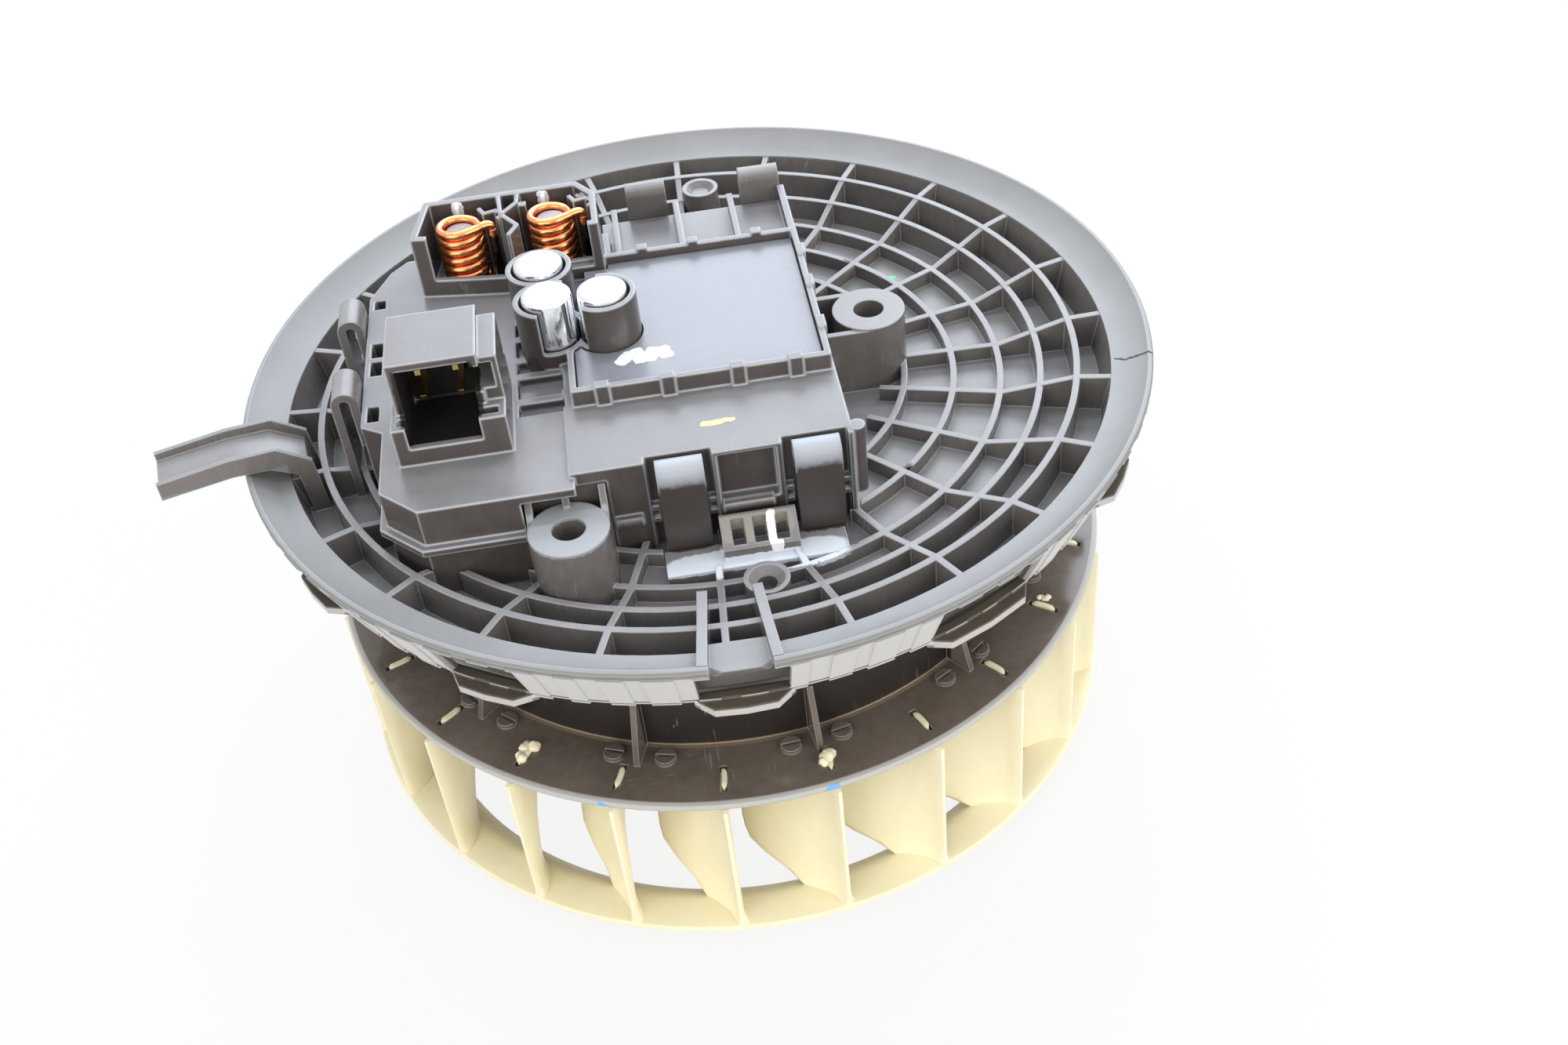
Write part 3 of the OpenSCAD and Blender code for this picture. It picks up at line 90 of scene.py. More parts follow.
class Tree:
    """Adds nodes to a shader node tree and links them."""

    def __init__(self, tree: bpy.types.NodeTree) -> None:
        """Keeps the tree that the nodes go into."""
        self.tree = tree

    def node(
        self, kind: str, inputs: dict[str | int, object] | None = None, **settings: object
    ) -> bpy.types.Node:
        """Adds one node.

        Args:
            kind: Blender's node type.
            inputs: Values or sockets by input name or number.
            settings: The node's own properties.

        Returns:
            The new node.
        """
        made = self.tree.nodes.new(kind)
        for name, value in settings.items():
            setattr(made, name, value)
        for name, value in (inputs or {}).items():
            self.feed(made.inputs[name], value)
        return made

    def feed(self, target: Socket, value: object) -> None:
        """Links a socket to an input, or sets the input's own value.

        Args:
            target: The input.
            value: A socket, a value, or None to leave it as it is.
        """
        if isinstance(value, bpy.types.NodeSocket):
            self.tree.links.new(value, target)
        elif value is not None:
            target.default_value = value

    def math(self, operation: str, *values: object, clamp: bool = False) -> Socket:
        """Adds a Math node and returns its result."""
        inputs = dict(enumerate(values))
        return self.node("ShaderNodeMath", inputs, operation=operation, use_clamp=clamp).outputs[0]

    def vector_math(self, operation: str, *values: object, out: str = "Vector") -> Socket:
        """Adds a Vector Math node and returns its result."""
        return self.node("ShaderNodeVectorMath", dict(enumerate(values)), operation=operation).outputs[out]

    def between(
        self, value: Socket, low: float, high: object, to: tuple[object, object] = (0.0, 1.0)
    ) -> Socket:
        """Maps a value's range to another one, smoothly and clamped.

        Args:
            value: The socket to map.
            low: Value that gives the first result.
            high: Value that gives the second result.
            to: The two results.

        Returns:
            The mapped value.
        """
        inputs = {0: value, 1: low, 2: high, 3: to[0], 4: to[1]}
        return self.node("ShaderNodeMapRange", inputs, interpolation_type="SMOOTHSTEP").outputs[0]

    def blend(self, share: object, first: object, second: object) -> Socket:
        """Mixes two colours by a share.

        Args:
            share: The second colour's share.
            first: The first colour.
            second: The second colour.

        Returns:
            The mixed colour.
        """
        made = self.node("ShaderNodeMix", data_type="RGBA")
        for index, value in ((0, share), (6, first), (7, second)):
            self.feed(made.inputs[index], value)
        return made.outputs[2]

    def noise(self, place: Socket, scale: object, detail: float = 2.0, roughness: float = 0.5) -> Socket:
        """Adds a noise and returns its value."""
        inputs = {"Vector": place, "Scale": scale, "Detail": detail, "Roughness": roughness}
        return self.node("ShaderNodeTexNoise", inputs).outputs["Fac"]


@dataclass(frozen=True)
class Port:
    """A named input or output of an effect."""

    name: str
    kind: str = "Float"
    value: object = None


class Effect:
    """A shader node group that several finishes share."""

    name: str = ""
    inputs: tuple[Port, ...] = ()
    outputs: tuple[Port, ...] = ()

    def __init__(self) -> None:
        """Builds the group once, with its sockets."""
        self.group = bpy.data.node_groups.new(self.name, "ShaderNodeTree")
        for ports, way in ((self.inputs, "INPUT"), (self.outputs, "OUTPUT")):
            for port in ports:
                kind = f"NodeSocket{port.kind}"
                made = self.group.interface.new_socket(port.name, in_out=way, socket_type=kind)
                if port.value is not None:
                    made.default_value = port.value
        tree = Tree(self.group)
        entry = tree.node("NodeGroupInput")
        exit_node = tree.node("NodeGroupOutput")
        for name, value in self.build(tree, entry).items():
            tree.feed(exit_node.inputs[name], value)

    def build(self, tree: Tree, entry: bpy.types.Node) -> dict[str, Socket]:
        """Makes the nodes inside the group.

        Args:
            tree: The group's tree.
            entry: The node that holds the group's inputs.

        Returns:
            The socket for each output by name.
        """
        raise NotImplementedError

    def place(self, tree: Tree, **values: object) -> bpy.types.Node:
        """Places the group in a material with its own values.

        Args:
            tree: The material's tree.
            values: Values or sockets by input name.

        Returns:
            The group's node.
        """
        made = tree.node("ShaderNodeGroup", node_tree=self.group)
        for name, value in values.items():
            tree.feed(made.inputs[name.replace("_", " ").capitalize()], value)
        return made


def object_place(tree: Tree) -> Socket:
    """Gives the place on the piece itself, so that a pattern moves with it."""
    return tree.node("ShaderNodeTexCoord").outputs["Object"]


class RoundedEdges(Effect):
    """Rounds sharp moulded edges in the shading and marks where they are."""

    name = "rounded_edges"
    inputs = (Port("Radius", value=0.0004),)
    outputs = (Port("Normal", "Vector"), Port("Edge"))

    def build(self, tree: Tree, entry: bpy.types.Node) -> dict[str, Socket]:
        """Compares the rounded normal with the flat one.

        Args:
            tree: The group's tree.
            entry: The node that holds the group's inputs.

        Returns:
            The rounded normal and where the edges are.
        """
        bevel = tree.node("ShaderNodeBevel", {"Radius": entry.outputs["Radius"]}, samples=6).outputs[0]
        flat = tree.node("ShaderNodeNewGeometry").outputs["Normal"]
        same = tree.vector_math("DOT_PRODUCT", bevel, flat, out="Value")
        return {"Normal": bevel, "Edge": tree.between(same, 0.995, 0.86)}


class MouldedGrain(Effect):
    """Fine spark-eroded grain with a slow change of tone."""

    name = "moulded_grain"
    inputs = (Port("Scale", value=3000.0), Port("Patch scale", value=45.0))
    outputs = (Port("Height"), Port("Tone"))
    coarser = 0.13
    streak_scale = 9.0
    streak_share = 0.35
    fine_share = 0.4

    def build(self, tree: Tree, entry: bpy.types.Node) -> dict[str, Socket]:
        """Mixes a fine and a middling noise, and slow clouds and streaks for the tone.

        Args:
            tree: The group's tree.
            entry: The node that holds the group's inputs.

        Returns:
            The grain's height and the slow tone.
        """
        place = object_place(tree)
        scale, patch_scale = entry.outputs["Scale"], entry.outputs["Patch scale"]
        fine = tree.noise(place, scale, 3.0, 0.6)
        middling = tree.noise(place, tree.math("MULTIPLY", scale, self.coarser), 2.0)
        height = tree.math("MULTIPLY_ADD", middling, 0.6, fine)
        patch = tree.noise(place, patch_scale, 4.0, 0.6)
        cloud = tree.between(patch, 0.3, 0.7, (0.0, 1 - self.streak_share))
        drawn = tree.node("ShaderNodeMapping", {"Vector": place, "Scale": (1.0, 1.0, 0.3)}).outputs[0]
        streak = tree.noise(drawn, tree.math("MULTIPLY", patch_scale, self.streak_scale), 3.0, 0.6)
        slow = tree.math("MULTIPLY_ADD", tree.between(streak, 0.35, 0.65), self.streak_share, cloud)
        tone = tree.math("MULTIPLY_ADD", tree.math("SUBTRACT", fine, 0.5), self.fine_share, slow)
        return {"Height": height, "Tone": tone}


class DustAndSheen(Effect):
    """Dust and painted sheen on faces that look up: an even painted sheen, and dust in cloudy patches and
    specks.
    """

    name = "dust_and_painted_sheen"
    inputs = (Port("Amount", value=0.5), Port("Haze"), Port("Scale", value=60.0))
    outputs = (Port("Mask"),)
    speck_scale = 1900.0

    def build(self, tree: Tree, entry: bpy.types.Node) -> dict[str, Socket]:
        """Weighs the even painted sheen, the dust clouds and the specks by how far a face looks up.

        Args:
            tree: The group's tree.
            entry: The node that holds the group's inputs.

        Returns:
            The mask of the dust and the painted sheen.
        """
        coords = tree.node("ShaderNodeTexCoord")
        place = coords.outputs["Object"]
        up = tree.node("ShaderNodeSeparateXYZ", {0: coords.outputs["Normal"]}).outputs["Z"]
        facing = tree.between(up, 0.55, 0.95)
        clouds = tree.between(tree.noise(place, entry.outputs["Scale"], 5.0, 0.62), 0.35, 0.75)
        specks = tree.between(tree.noise(place, self.speck_scale, 1.0), 0.71, 0.76)
        film = tree.math("MAXIMUM", clouds, specks)
        # The even painted sheen is added to the dust clouds and specks here.
        film = tree.math("MULTIPLY_ADD", film, entry.outputs["Amount"], entry.outputs["Haze"])
        return {"Mask": tree.math("MULTIPLY", film, facing)}


class ScuffMarks(Effect):
    """Short light scratches in two directions."""

    name = "scuff_marks"
    inputs = (Port("Amount", value=0.5), Port("Scale", value=130.0))
    outputs = (Port("Mask"),)
    strokes = ((0.7, (1.0, 14.0, 1.0)), (-0.5, (12.0, 1.0, 1.0)))
    patch_scale = 38.0

    def build(self, tree: Tree, entry: bpy.types.Node) -> dict[str, Socket]:
        """Stretches noises into streaks and keeps a few patches of them.

        Args:
            tree: The group's tree.
            entry: The node that holds the group's inputs.

        Returns:
            The scratches' mask.
        """
        place = object_place(tree)
        streaks = []
        for turn, stretch in self.strokes:
            bend = {"Vector": place, "Rotation": (0.2, 0.1, turn), "Scale": stretch}
            bent = tree.node("ShaderNodeMapping", bend).outputs[0]
            streak = tree.noise(bent, entry.outputs["Scale"], 2.0, 0.45)
            streaks.append(tree.between(streak, 0.68, 0.72))
        patches = tree.between(tree.noise(place, self.patch_scale, 2.0), 0.52, 0.66)
        mask = tree.math("MULTIPLY", tree.math("MAXIMUM", *streaks), patches)
        return {"Mask": tree.math("MULTIPLY", mask, entry.outputs["Amount"])}


class PaintSpot(Effect):
    """A dab or dash of colour with a wavy outline at a place on the piece: a paint mark, or a painted
    highlight or shade.
    """

    name = "paint_spot"
    inputs = (
        Port("Centre", "Vector"),
        Port("Half size", "Vector", (0.002, 0.001, 0.002)),
        Port("Turn"),
        Port("Softness", value=0.2),
    )
    outputs = (Port("Mask"),)
    wave_scale = 900.0
    waviness = 1.1 * MM
    outline = 1.05

    def build(self, tree: Tree, entry: bpy.types.Node) -> dict[str, Socket]:
        """Measures how far a point is outside the dab.

        Args:
            tree: The group's tree.
            entry: The node that holds the group's inputs.

        Returns:
            The dab's mask.
        """
        place = object_place(tree)
        waves = {"Vector": place, "Scale": self.wave_scale, "Detail": 3.0}
        wave = tree.node("ShaderNodeTexNoise", waves).outputs["Color"]
        wobble = tree.vector_math("MULTIPLY_ADD", wave, (self.waviness,) * 3, place)
        offset = tree.vector_math("SUBTRACT", wobble, entry.outputs["Centre"])
        moved = tree.vector_math("SUBTRACT", offset, (self.waviness / 2,) * 3)
        turn = {"Vector": moved, "Angle": entry.outputs["Turn"]}
        turned = tree.node("ShaderNodeVectorRotate", turn, rotation_type="Z_AXIS").outputs[0]
        share = tree.vector_math("DIVIDE", turned, entry.outputs["Half size"])
        reach = tree.vector_math("LENGTH", tree.vector_math("MULTIPLY", share, share), out="Value")
        inner = tree.math("SUBTRACT", self.outline, entry.outputs["Softness"])
        return {"Mask": tree.between(reach, self.outline, inner)}


# ---------------------------------------------------------------- finishes


@dataclass(frozen=True)
class Dab:
    """One dab: a paint mark, or a painted highlight or painted shade.

    Attributes:
        at: Its middle in millimetres.
        half: Half its length, width and depth in millimetres.
        colour: The paint's colour.
        turn: Its turn round the upward axis, in degrees.
        softness: Share of the size over which it fades out.
    """

    at: Point
    half: Point
    colour: Colour
    turn: float = 0.0
    softness: float = 0.2


@dataclass(frozen=True)
class Zone:
    """A part of a piece that has its own colour and gloss, or a painted highlight, reflection or shade.

    Attributes:
        low: Its lowest height in millimetres.
        top: Its highest height in millimetres.
        radius: Its inner radius in millimetres.
        colour: Its colour.
        roughness: How matt it is.
        reach: Its outer radius in millimetres.
        soft: Width in millimetres over which it fades in.
        taper: How fast both radii grow with the height.
        dust: Share of the dust, the painted sheen and the painted edge highlight that it keeps.
    """

    low: float
    top: float
    radius: float
    colour: Colour
    roughness: float
    reach: float = 1000.0
    soft: float = 0.5
    taper: float = 0.0
    dust: float = 1.0


@dataclass(frozen=True)
class Finish:
    """What a surface is made of and how it has worn, with the light and shade painted on it.

    Attributes:
        name: The material's name.
        colour: Main colour.
        roughness: How matt it is.
        metallic: 1 for metal.
        coat: Weight of a clear coat.
        grain: Scale of the fine grain in lines per metre.
        grain_depth: Depth of the grain in millimetres.
        mottle: Share by which the tone changes.
        patch: Scale of the slow tone in lines per metre.
        edge_radius: Rounding of moulded edges in millimetres.
        painted_edge_highlight: Share of the painted highlight on edges.
        edge_highlight_colour: Colour of the painted highlight on edges.
        dust: Amount of dust clouds on upward faces.
        haze: Share of an even painted sheen on upward faces.
        dust_and_sheen_colour: Colour of the dust, of the painted sheen and of the scratches.
        scuff: Amount of light scratches.
        dabs: Dabs of paint, and painted highlights and shade.
        zones: Parts with another colour, some of them painted highlights, reflections or shade.
    """

    name: str
    colour: Colour
    roughness: float = 0.4
    metallic: float = 0.0
    coat: float = 0.0
    grain: float = 3000.0
    grain_depth: float = 0.02
    mottle: float = 0.12
    patch: float = 45.0
    edge_radius: float = 0.35
    # Painted highlight along moulded edges, and its colour.
    painted_edge_highlight: float = 0.0
    edge_highlight_colour: Colour = (228, 232, 240)
    dust: float = 0.0
    # Even painted sheen on faces that look up.
    haze: float = 0.0
    dust_and_sheen_colour: Colour = (178, 180, 184)
    scuff: float = 0.0
    dabs: tuple[Dab, ...] = ()
    zones: tuple[Zone, ...] = ()


class FinishShop:
    """Builds materials from finishes, with the shared effects."""

    def __init__(self) -> None:
        """Builds each effect once."""
        self.edges = RoundedEdges()
        self.grain = MouldedGrain()
        self.dust = DustAndSheen()
        self.scuffs = ScuffMarks()
        self.spot = PaintSpot()
        self.made: dict[str, bpy.types.Material] = {}

    def material(self, finish: Finish) -> bpy.types.Material:
        """Gives the material of a finish, and makes it when it is new.

        Args:
            finish: The finish to build.

        Returns:
            The material.
        """
        if finish.name not in self.made:
            self.made[finish.name] = Surface(self, finish).build()
        return self.made[finish.name]


class Surface:
    """One material in the making, whose colour and roughness change layer by layer."""

    tone_roughness = 0.12
    dust_and_sheen_roughness = 0.3
    paint_roughness = 0.1
    coat_roughness = 0.06
    bump_strength = 0.5

    def __init__(self, shop: FinishShop, finish: Finish) -> None:
        """Starts with the bare surface, whose tone changes slowly.

        Args:
            shop: Holds the shared effects.
            finish: The finish to build.
        """
        self.shop = shop
        self.finish = finish
        self.made = bpy.data.materials.new(finish.name)
        self.made.use_nodes = True
        self.made.diffuse_color = linear(finish.colour)
        self.tree = Tree(self.made.node_tree)
        grain = shop.grain.place(self.tree, scale=finish.grain, patch_scale=finish.patch)
        self.height = grain.outputs["Height"]
        tone = grain.outputs["Tone"]
        full = linear(finish.colour)[:3]
        dark = (*[c * (1 - finish.mottle) for c in full], 1.0)
        light = (*[min(1.0, c * (1 + finish.mottle)) for c in full], 1.0)
        self.colour = self.tree.blend(tone, dark, light)
        base = finish.roughness - self.tone_roughness / 2
        self.rough = self.tree.math("MULTIPLY_ADD", tone, self.tone_roughness, base)
        self.normal: Socket | None = None
        self.kept: Socket | None = None

    def cover(self, mask: Socket, colour: Colour, roughness: float = 0.0) -> None:
        """Lays a colour over the surface.

        Args:
            mask: Where the colour lies.
            colour: The colour.
            roughness: How much more matt it makes the surface.
        """
        self.colour = self.tree.blend(mask, self.colour, linear(colour))
        if roughness:
            self.rough = self.tree.math("MULTIPLY_ADD", mask, roughness, self.rough, clamp=True)

    def thinned(self, mask: Socket) -> Socket:
        """Takes the painted edge highlight, the dust and the painted sheen off the zones that keep less of
        them.
        """
        return self.tree.math("MULTIPLY", mask, self.kept) if self.kept else mask

    def zones(self) -> None:
        """Gives each zone its own colour, gloss and share of dust, painted sheen and painted edge highlight.
        """
        for zone in self.finish.zones:
            mask = self.zone_mask(zone)
            if zone.dust < 1:
                kept = self.tree.between(mask, 0.0, 1.0, (1.0, zone.dust))
                self.kept = self.tree.math("MULTIPLY", self.kept, kept) if self.kept else kept
            self.cover(mask, zone.colour)
            self.rough = self.tree.between(mask, 0.0, 1.0, (self.rough, zone.roughness))

    def zone_mask(self, zone: Zone) -> Socket:
        """Marks the surface between a zone's heights and radii.

        Args:
            zone: The zone to mark.

        Returns:
            1 inside the zone and 0 outside it.
        """
        tree = self.tree
        parts = tree.node("ShaderNodeSeparateXYZ", {0: object_place(tree)})
        x, y, height = parts.outputs
        flat = tree.node("ShaderNodeCombineXYZ", {"X": x, "Y": y}).outputs[0]
        radius = tree.vector_math("LENGTH", flat, out="Value")
        above = tree.math("SUBTRACT", height, zone.low * MM)
        radius = tree.math("MULTIPLY_ADD", above, -zone.taper, radius)
        soft = zone.soft * MM
        bands = [
            tree.between(value, limit * MM, limit * MM + way * soft)
            for value, limit, way in (
                (height, zone.low, 1),
                (height, zone.top, -1),
                (radius, zone.radius, 1),
                (radius, zone.reach, -1),
            )
        ]
        return tree.math("MULTIPLY", tree.math("MULTIPLY", *bands[:2]), tree.math("MULTIPLY", *bands[2:]))

    def edges(self) -> None:
        """Rounds the moulded edges and paints a highlight along them."""
        finish = self.finish
        if finish.edge_radius:
            edges = self.shop.edges.place(self.tree, radius=finish.edge_radius * MM)
            self.normal = edges.outputs["Normal"]
            if finish.painted_edge_highlight:
                # Painted highlight along the edges.
                share = self.tree.math("MULTIPLY", edges.outputs["Edge"], finish.painted_edge_highlight)
                self.cover(self.thinned(share), finish.edge_highlight_colour)

    def wear(self) -> None:
        """Lays on the dust with the painted sheen, and the scratches."""
        finish = self.finish
        if finish.dust:
            # Dust, and an even painted sheen on faces that look up.
            mask = self.shop.dust.place(self.tree, amount=finish.dust, haze=finish.haze).outputs[0]
            self.cover(self.thinned(mask), finish.dust_and_sheen_colour, self.dust_and_sheen_roughness)
        if finish.scuff:
            mask = self.shop.scuffs.place(self.tree, amount=finish.scuff).outputs[0]
            self.cover(mask, finish.dust_and_sheen_colour)

    def paint(self) -> None:
        """Adds the dabs: paint marks, painted highlights and painted shade."""
        for dab in self.finish.dabs:
            centre = tuple(c * MM for c in dab.at)
            half = tuple(c * MM for c in dab.half)
            turn = -math.radians(dab.turn)
            spot = self.shop.spot.place(
                self.tree, centre=centre, half_size=half, turn=turn, softness=dab.softness
            )
            self.cover(spot.outputs[0], dab.colour, self.paint_roughness)

    def build(self) -> bpy.types.Material:
        """Lays every layer on and feeds the shader.

        Returns:
            The new material.
        """
        finish, tree = self.finish, self.tree
        self.zones()
        self.edges()
        self.wear()
        self.paint()
        bump = tree.node("ShaderNodeBump", {"Height": self.height, "Distance": finish.grain_depth * MM})
        tree.feed(bump.inputs["Strength"], self.bump_strength)
        tree.feed(bump.inputs["Normal"], self.normal)
        shader = self.made.node_tree.nodes["Principled BSDF"]
        for name, value in {
            "Base Color": self.colour,
            "Roughness": self.rough,
            "Normal": bump.outputs[0],
            "Metallic": finish.metallic,
            "Coat Weight": finish.coat,
            "Coat Roughness": self.coat_roughness,
        }.items():
            tree.feed(shader.inputs[name], value)
        return self.made


# ---------------------------------------------------------------- meshes


def linked(name: str, data: bpy.types.ID) -> bpy.types.Object:
    """Makes an object from its data and links it to the scene.

    Args:
        name: The object's name.
        data: Its mesh, lamp or camera.

    Returns:
        The linked object.
    """
    made = bpy.data.objects.new(name, data)
    bpy.context.scene.collection.objects.link(made)
    return made


def mesh_object(
    name: str, points: Iterable[Iterable[float]], faces: Iterable[Iterable[int]]
) -> bpy.types.Object:
    """Makes an object from points in millimetres.

    Args:
        name: The piece's name.
        points: Its corners.
        faces: Its faces as numbers of corners.

    Returns:
        The linked object.
    """
    mesh = bpy.data.meshes.new(name)
    mesh.from_pydata([tuple(c * MM for c in p) for p in points], [], [tuple(f) for f in faces])
    return linked(name, mesh)


def form_object(name: str, form: bmesh.types.BMesh) -> bpy.types.Object:
    """Makes an object from a bmesh, which it frees.

    Args:
        name: The piece's name.
        form: Its shape in metres.

    Returns:
        The linked object.
    """
    mesh = bpy.data.meshes.new(name)
    form.to_mesh(mesh)
    form.free()
    return linked(name, mesh)


def skin(sections: int, size: int, closed: bool = False) -> list[tuple[int, ...]]:
    """Joins outlines that lie one after another into one skin.

    Args:
        sections: How many outlines there are.
        size: Corners of each outline.
        closed: Whether the last outline joins the first one; the ends are capped otherwise.

    Returns:
        The faces as numbers of corners.
    """
    faces: list[tuple[int, ...]] = []
    for i in range(sections if closed else sections - 1):
        here, there = i * size, (i + 1) % sections * size
        for k in range(size):
            m = (k + 1) % size
            faces.append((here + k, here + m, there + m, there + k))
    if not closed:
        faces.append(tuple(reversed(range(size))))
        faces.append(tuple(range((sections - 1) * size, sections * size)))
    return faces


def flip_outward(piece: bpy.types.Object) -> None:
    """Makes a closed mesh's faces look outward.

    Args:
        piece: The piece to mend.
    """
    form = bmesh.new()
    form.from_mesh(piece.data)
    bmesh.ops.recalc_face_normals(form, faces=form.faces)
    form.to_mesh(piece.data)
    form.free()


def smooth_by_angle(piece: bpy.types.Object, degrees: float = 32.0) -> None:
    """Shades a piece smooth and keeps its sharp edges.

    Args:
        piece: The piece to shade.
        degrees: Edges sharper than this stay sharp.
    """
    mesh = piece.data
    custom = mesh.attributes.get("custom_normal")
    if custom:
        mesh.attributes.remove(custom)
    mesh.shade_smooth()
    weld = piece.modifiers.new("weld", "WELD")
    weld.merge_threshold = WELD
    split = piece.modifiers.new("keep_sharp_edges", "EDGE_SPLIT")
    split.split_angle = math.radians(degrees)
    split.use_edge_sharp = False


def lathe(name: str, profile: Sequence[tuple[float, float]], steps: int = 240) -> bpy.types.Object:
    """Turns a closed outline round the fan's axis.

    Args:
        name: The piece's name.
        profile: Radii and heights of the outline in millimetres.
        steps: Steps in a full turn.

    Returns:
        The turned piece.
    """
    points = [polar(r, 360 * i / steps, z) for i in range(steps) for r, z in profile]
    faces = [(a, d, c, b) for a, b, c, d in skin(steps, len(profile), closed=True)]
    return mesh_object(name, points, faces)


def tube(name: str, path: Sequence[Vector], radius: float, sides: int = 14) -> bpy.types.Object:
    """Draws a round wire along a path.

    Args:
        name: The piece's name.
        path: Points of its centre line in millimetres.
        radius: The wire's radius in millimetres.
        sides: Sides of its section.

    Returns:
        The closed tube.
    """
    count = len(path)
    across = Vector((1, 0, 0))
    points: list[Vector] = []
    for i, at in enumerate(path):
        along = (path[min(i + 1, count - 1)] - path[max(i - 1, 0)]).normalized()
        across = (across - across.dot(along) * along).normalized()
        other = along.cross(across)
        for k in range(sides):
            turn = 2 * math.pi * k / sides
            points.append(at + radius * (math.cos(turn) * across + math.sin(turn) * other))
    return mesh_object(name, points, skin(count, sides))


def catmull(points: Sequence[Vector], steps: int) -> list[Vector]:
    """Draws a smooth line through points.

    Args:
        points: The points to pass through.
        steps: Steps between two points.

    Returns:
        The finer line.
    """
    line: list[Vector] = []
    for i in range(len(points) - 1):
        a, b = points[max(i - 1, 0)], points[i]
        c, d = points[i + 1], points[min(i + 2, len(points) - 1)]
        for k in range(steps):
            t = k / steps
            square, cube = 2 * a - 5 * b + 4 * c - d, 3 * b - a - 3 * c + d
            line.append(0.5 * (2 * b + (c - a) * t + square * t**2 + cube * t**3))
    line.append(points[-1])
    return line


def joined(name: str, pieces: Iterable[bpy.types.Object]) -> bpy.types.Object:
    """Puts the meshes of several pieces into one.

    Args:
        name: The new piece's name.
        pieces: The pieces to take in; they are removed.

    Returns:
        The joined piece.
    """
    whole = bmesh.new()
    for piece in pieces:
        whole.from_mesh(piece.data)
        bpy.data.objects.remove(piece)
    return form_object(name, whole)


def dress(piece: bpy.types.Object, material: bpy.types.Material, body: Body) -> bpy.types.Object:
    """Gives a new piece its material and body, and logs it.

    Args:
        piece: The piece to dress.
        material: Its finish.
        body: The body it rides on.

    Returns:
        The same piece.
    """
    piece.data.materials.clear()
    piece.data.materials.append(material)
    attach(piece, body.value)
    log.info("built %s on %s with %s", piece.name, body.value, material.name)
    return piece


# ---------------------------------------------------------------- finishes of this fan

# The middles of the two snap clips, in millimetres.
CLIPS_X = (-7.5, 19.8)


def metal(name: str, colour: Colour, roughness: float, grain: float, **more: float) -> Finish:
    """Makes the finish of a bare metal.

    Args:
        name: The finish's name.
        colour: Its colour.
        roughness: How matt it is.
        grain: Scale of its fine grain in lines per metre.
        more: The finish's other fields.

    Returns:
        The finish.
    """
    return Finish(name, colour, roughness, metallic=1.0, grain=grain, **more)


FLANGE = Finish(
    name="flange_black",
    colour=(112, 108, 106),
    roughness=0.25,
    grain_depth=0.012,
    mottle=0.12,
    edge_radius=0.5,
    # Painted highlight along the edges.
    painted_edge_highlight=0.5,
    dust=0.16,
    # Even painted sheen on faces that look up.
    haze=0.26,
    scuff=0.2,
    dabs=(
        # Painted shade: the snap clips' front faces darkened.
        *(Dab((x, -53.0, -2.6), (5.5, 3.4, 10.8), (68, 63, 61)) for x in CLIPS_X),
        # Painted sheen: a pale strip along the top of the front shelf.
        Dab((5.0, -61.9, -10.0), (19.0, 4.6, 0.9), (222, 228, 238)),
        # Painted highlight over the comb.
        Dab((5.6, -58.5, -4.6), (8.6, 4.6, 2.2), (150, 145, 138), -3, 0.3),
        # Painted sheen on the top of the boss.
        Dab((-30.5, -59.0, 3.1), (9.6, 9.6, 0.9), (156, 159, 163), 0, 0.5),
        # Painted highlight along the snap clips' rounded tops, fading downward.
        *(Dab((x, -53.2, 9.3), (7.4, 4.8, 3.8), (170, 175, 184), 0, 0.95) for x in CLIPS_X),
        Dab((8.9, -57.8, -5.5), (0.95, 3.3, 3.5), (252, 252, 250), -4),
        Dab((9.6, -60.6, -7.5), (1.3, 0.8, 2.0), (252, 252, 250), -14),
        Dab((50.1, 34.5, -13.0), (1.9, 0.9, 1.4), (84, 214, 136), 30),
        Dab((93.4, -25.3, -3.0), (5.5, 0.35, 4.0), (52, 54, 58), -38),
    ),
    zones=(
        # The rim: matter, and its lighter colour is a painted sheen.
        Zone(low=-5.0, top=1.0, radius=91.0, colour=(128, 128, 127), roughness=0.45),
        # Painted reflection of the pale floor: the skirt light grey all round.
        Zone(
            low=-14.8, top=-2.2, radius=93.0, colour=(196, 194, 192), roughness=0.5, reach=100.4, taper=0.435
        ),
        # Painted reflection of the pale floor: the tabs' lower faces light grey.
        Zone(low=-15.8, top=-13.5, radius=95.0, colour=(186, 182, 180), roughness=0.45, soft=0.15),
        # Painted shade: the sills and inner floor of the tab windows dark brown, with less dust, sheen and
        # edge highlight.
        Zone(low=-13.7, top=-13.0, radius=94.8, colour=(82, 73, 58), roughness=0.4, soft=0.15, dust=0.15),
        Zone(
            low=-13.4, top=-12.7, radius=90.0, colour=(82, 73, 58), roughness=0.4,
            reach=94.9, soft=0.12, dust=0.15,
        ),
    ),
)
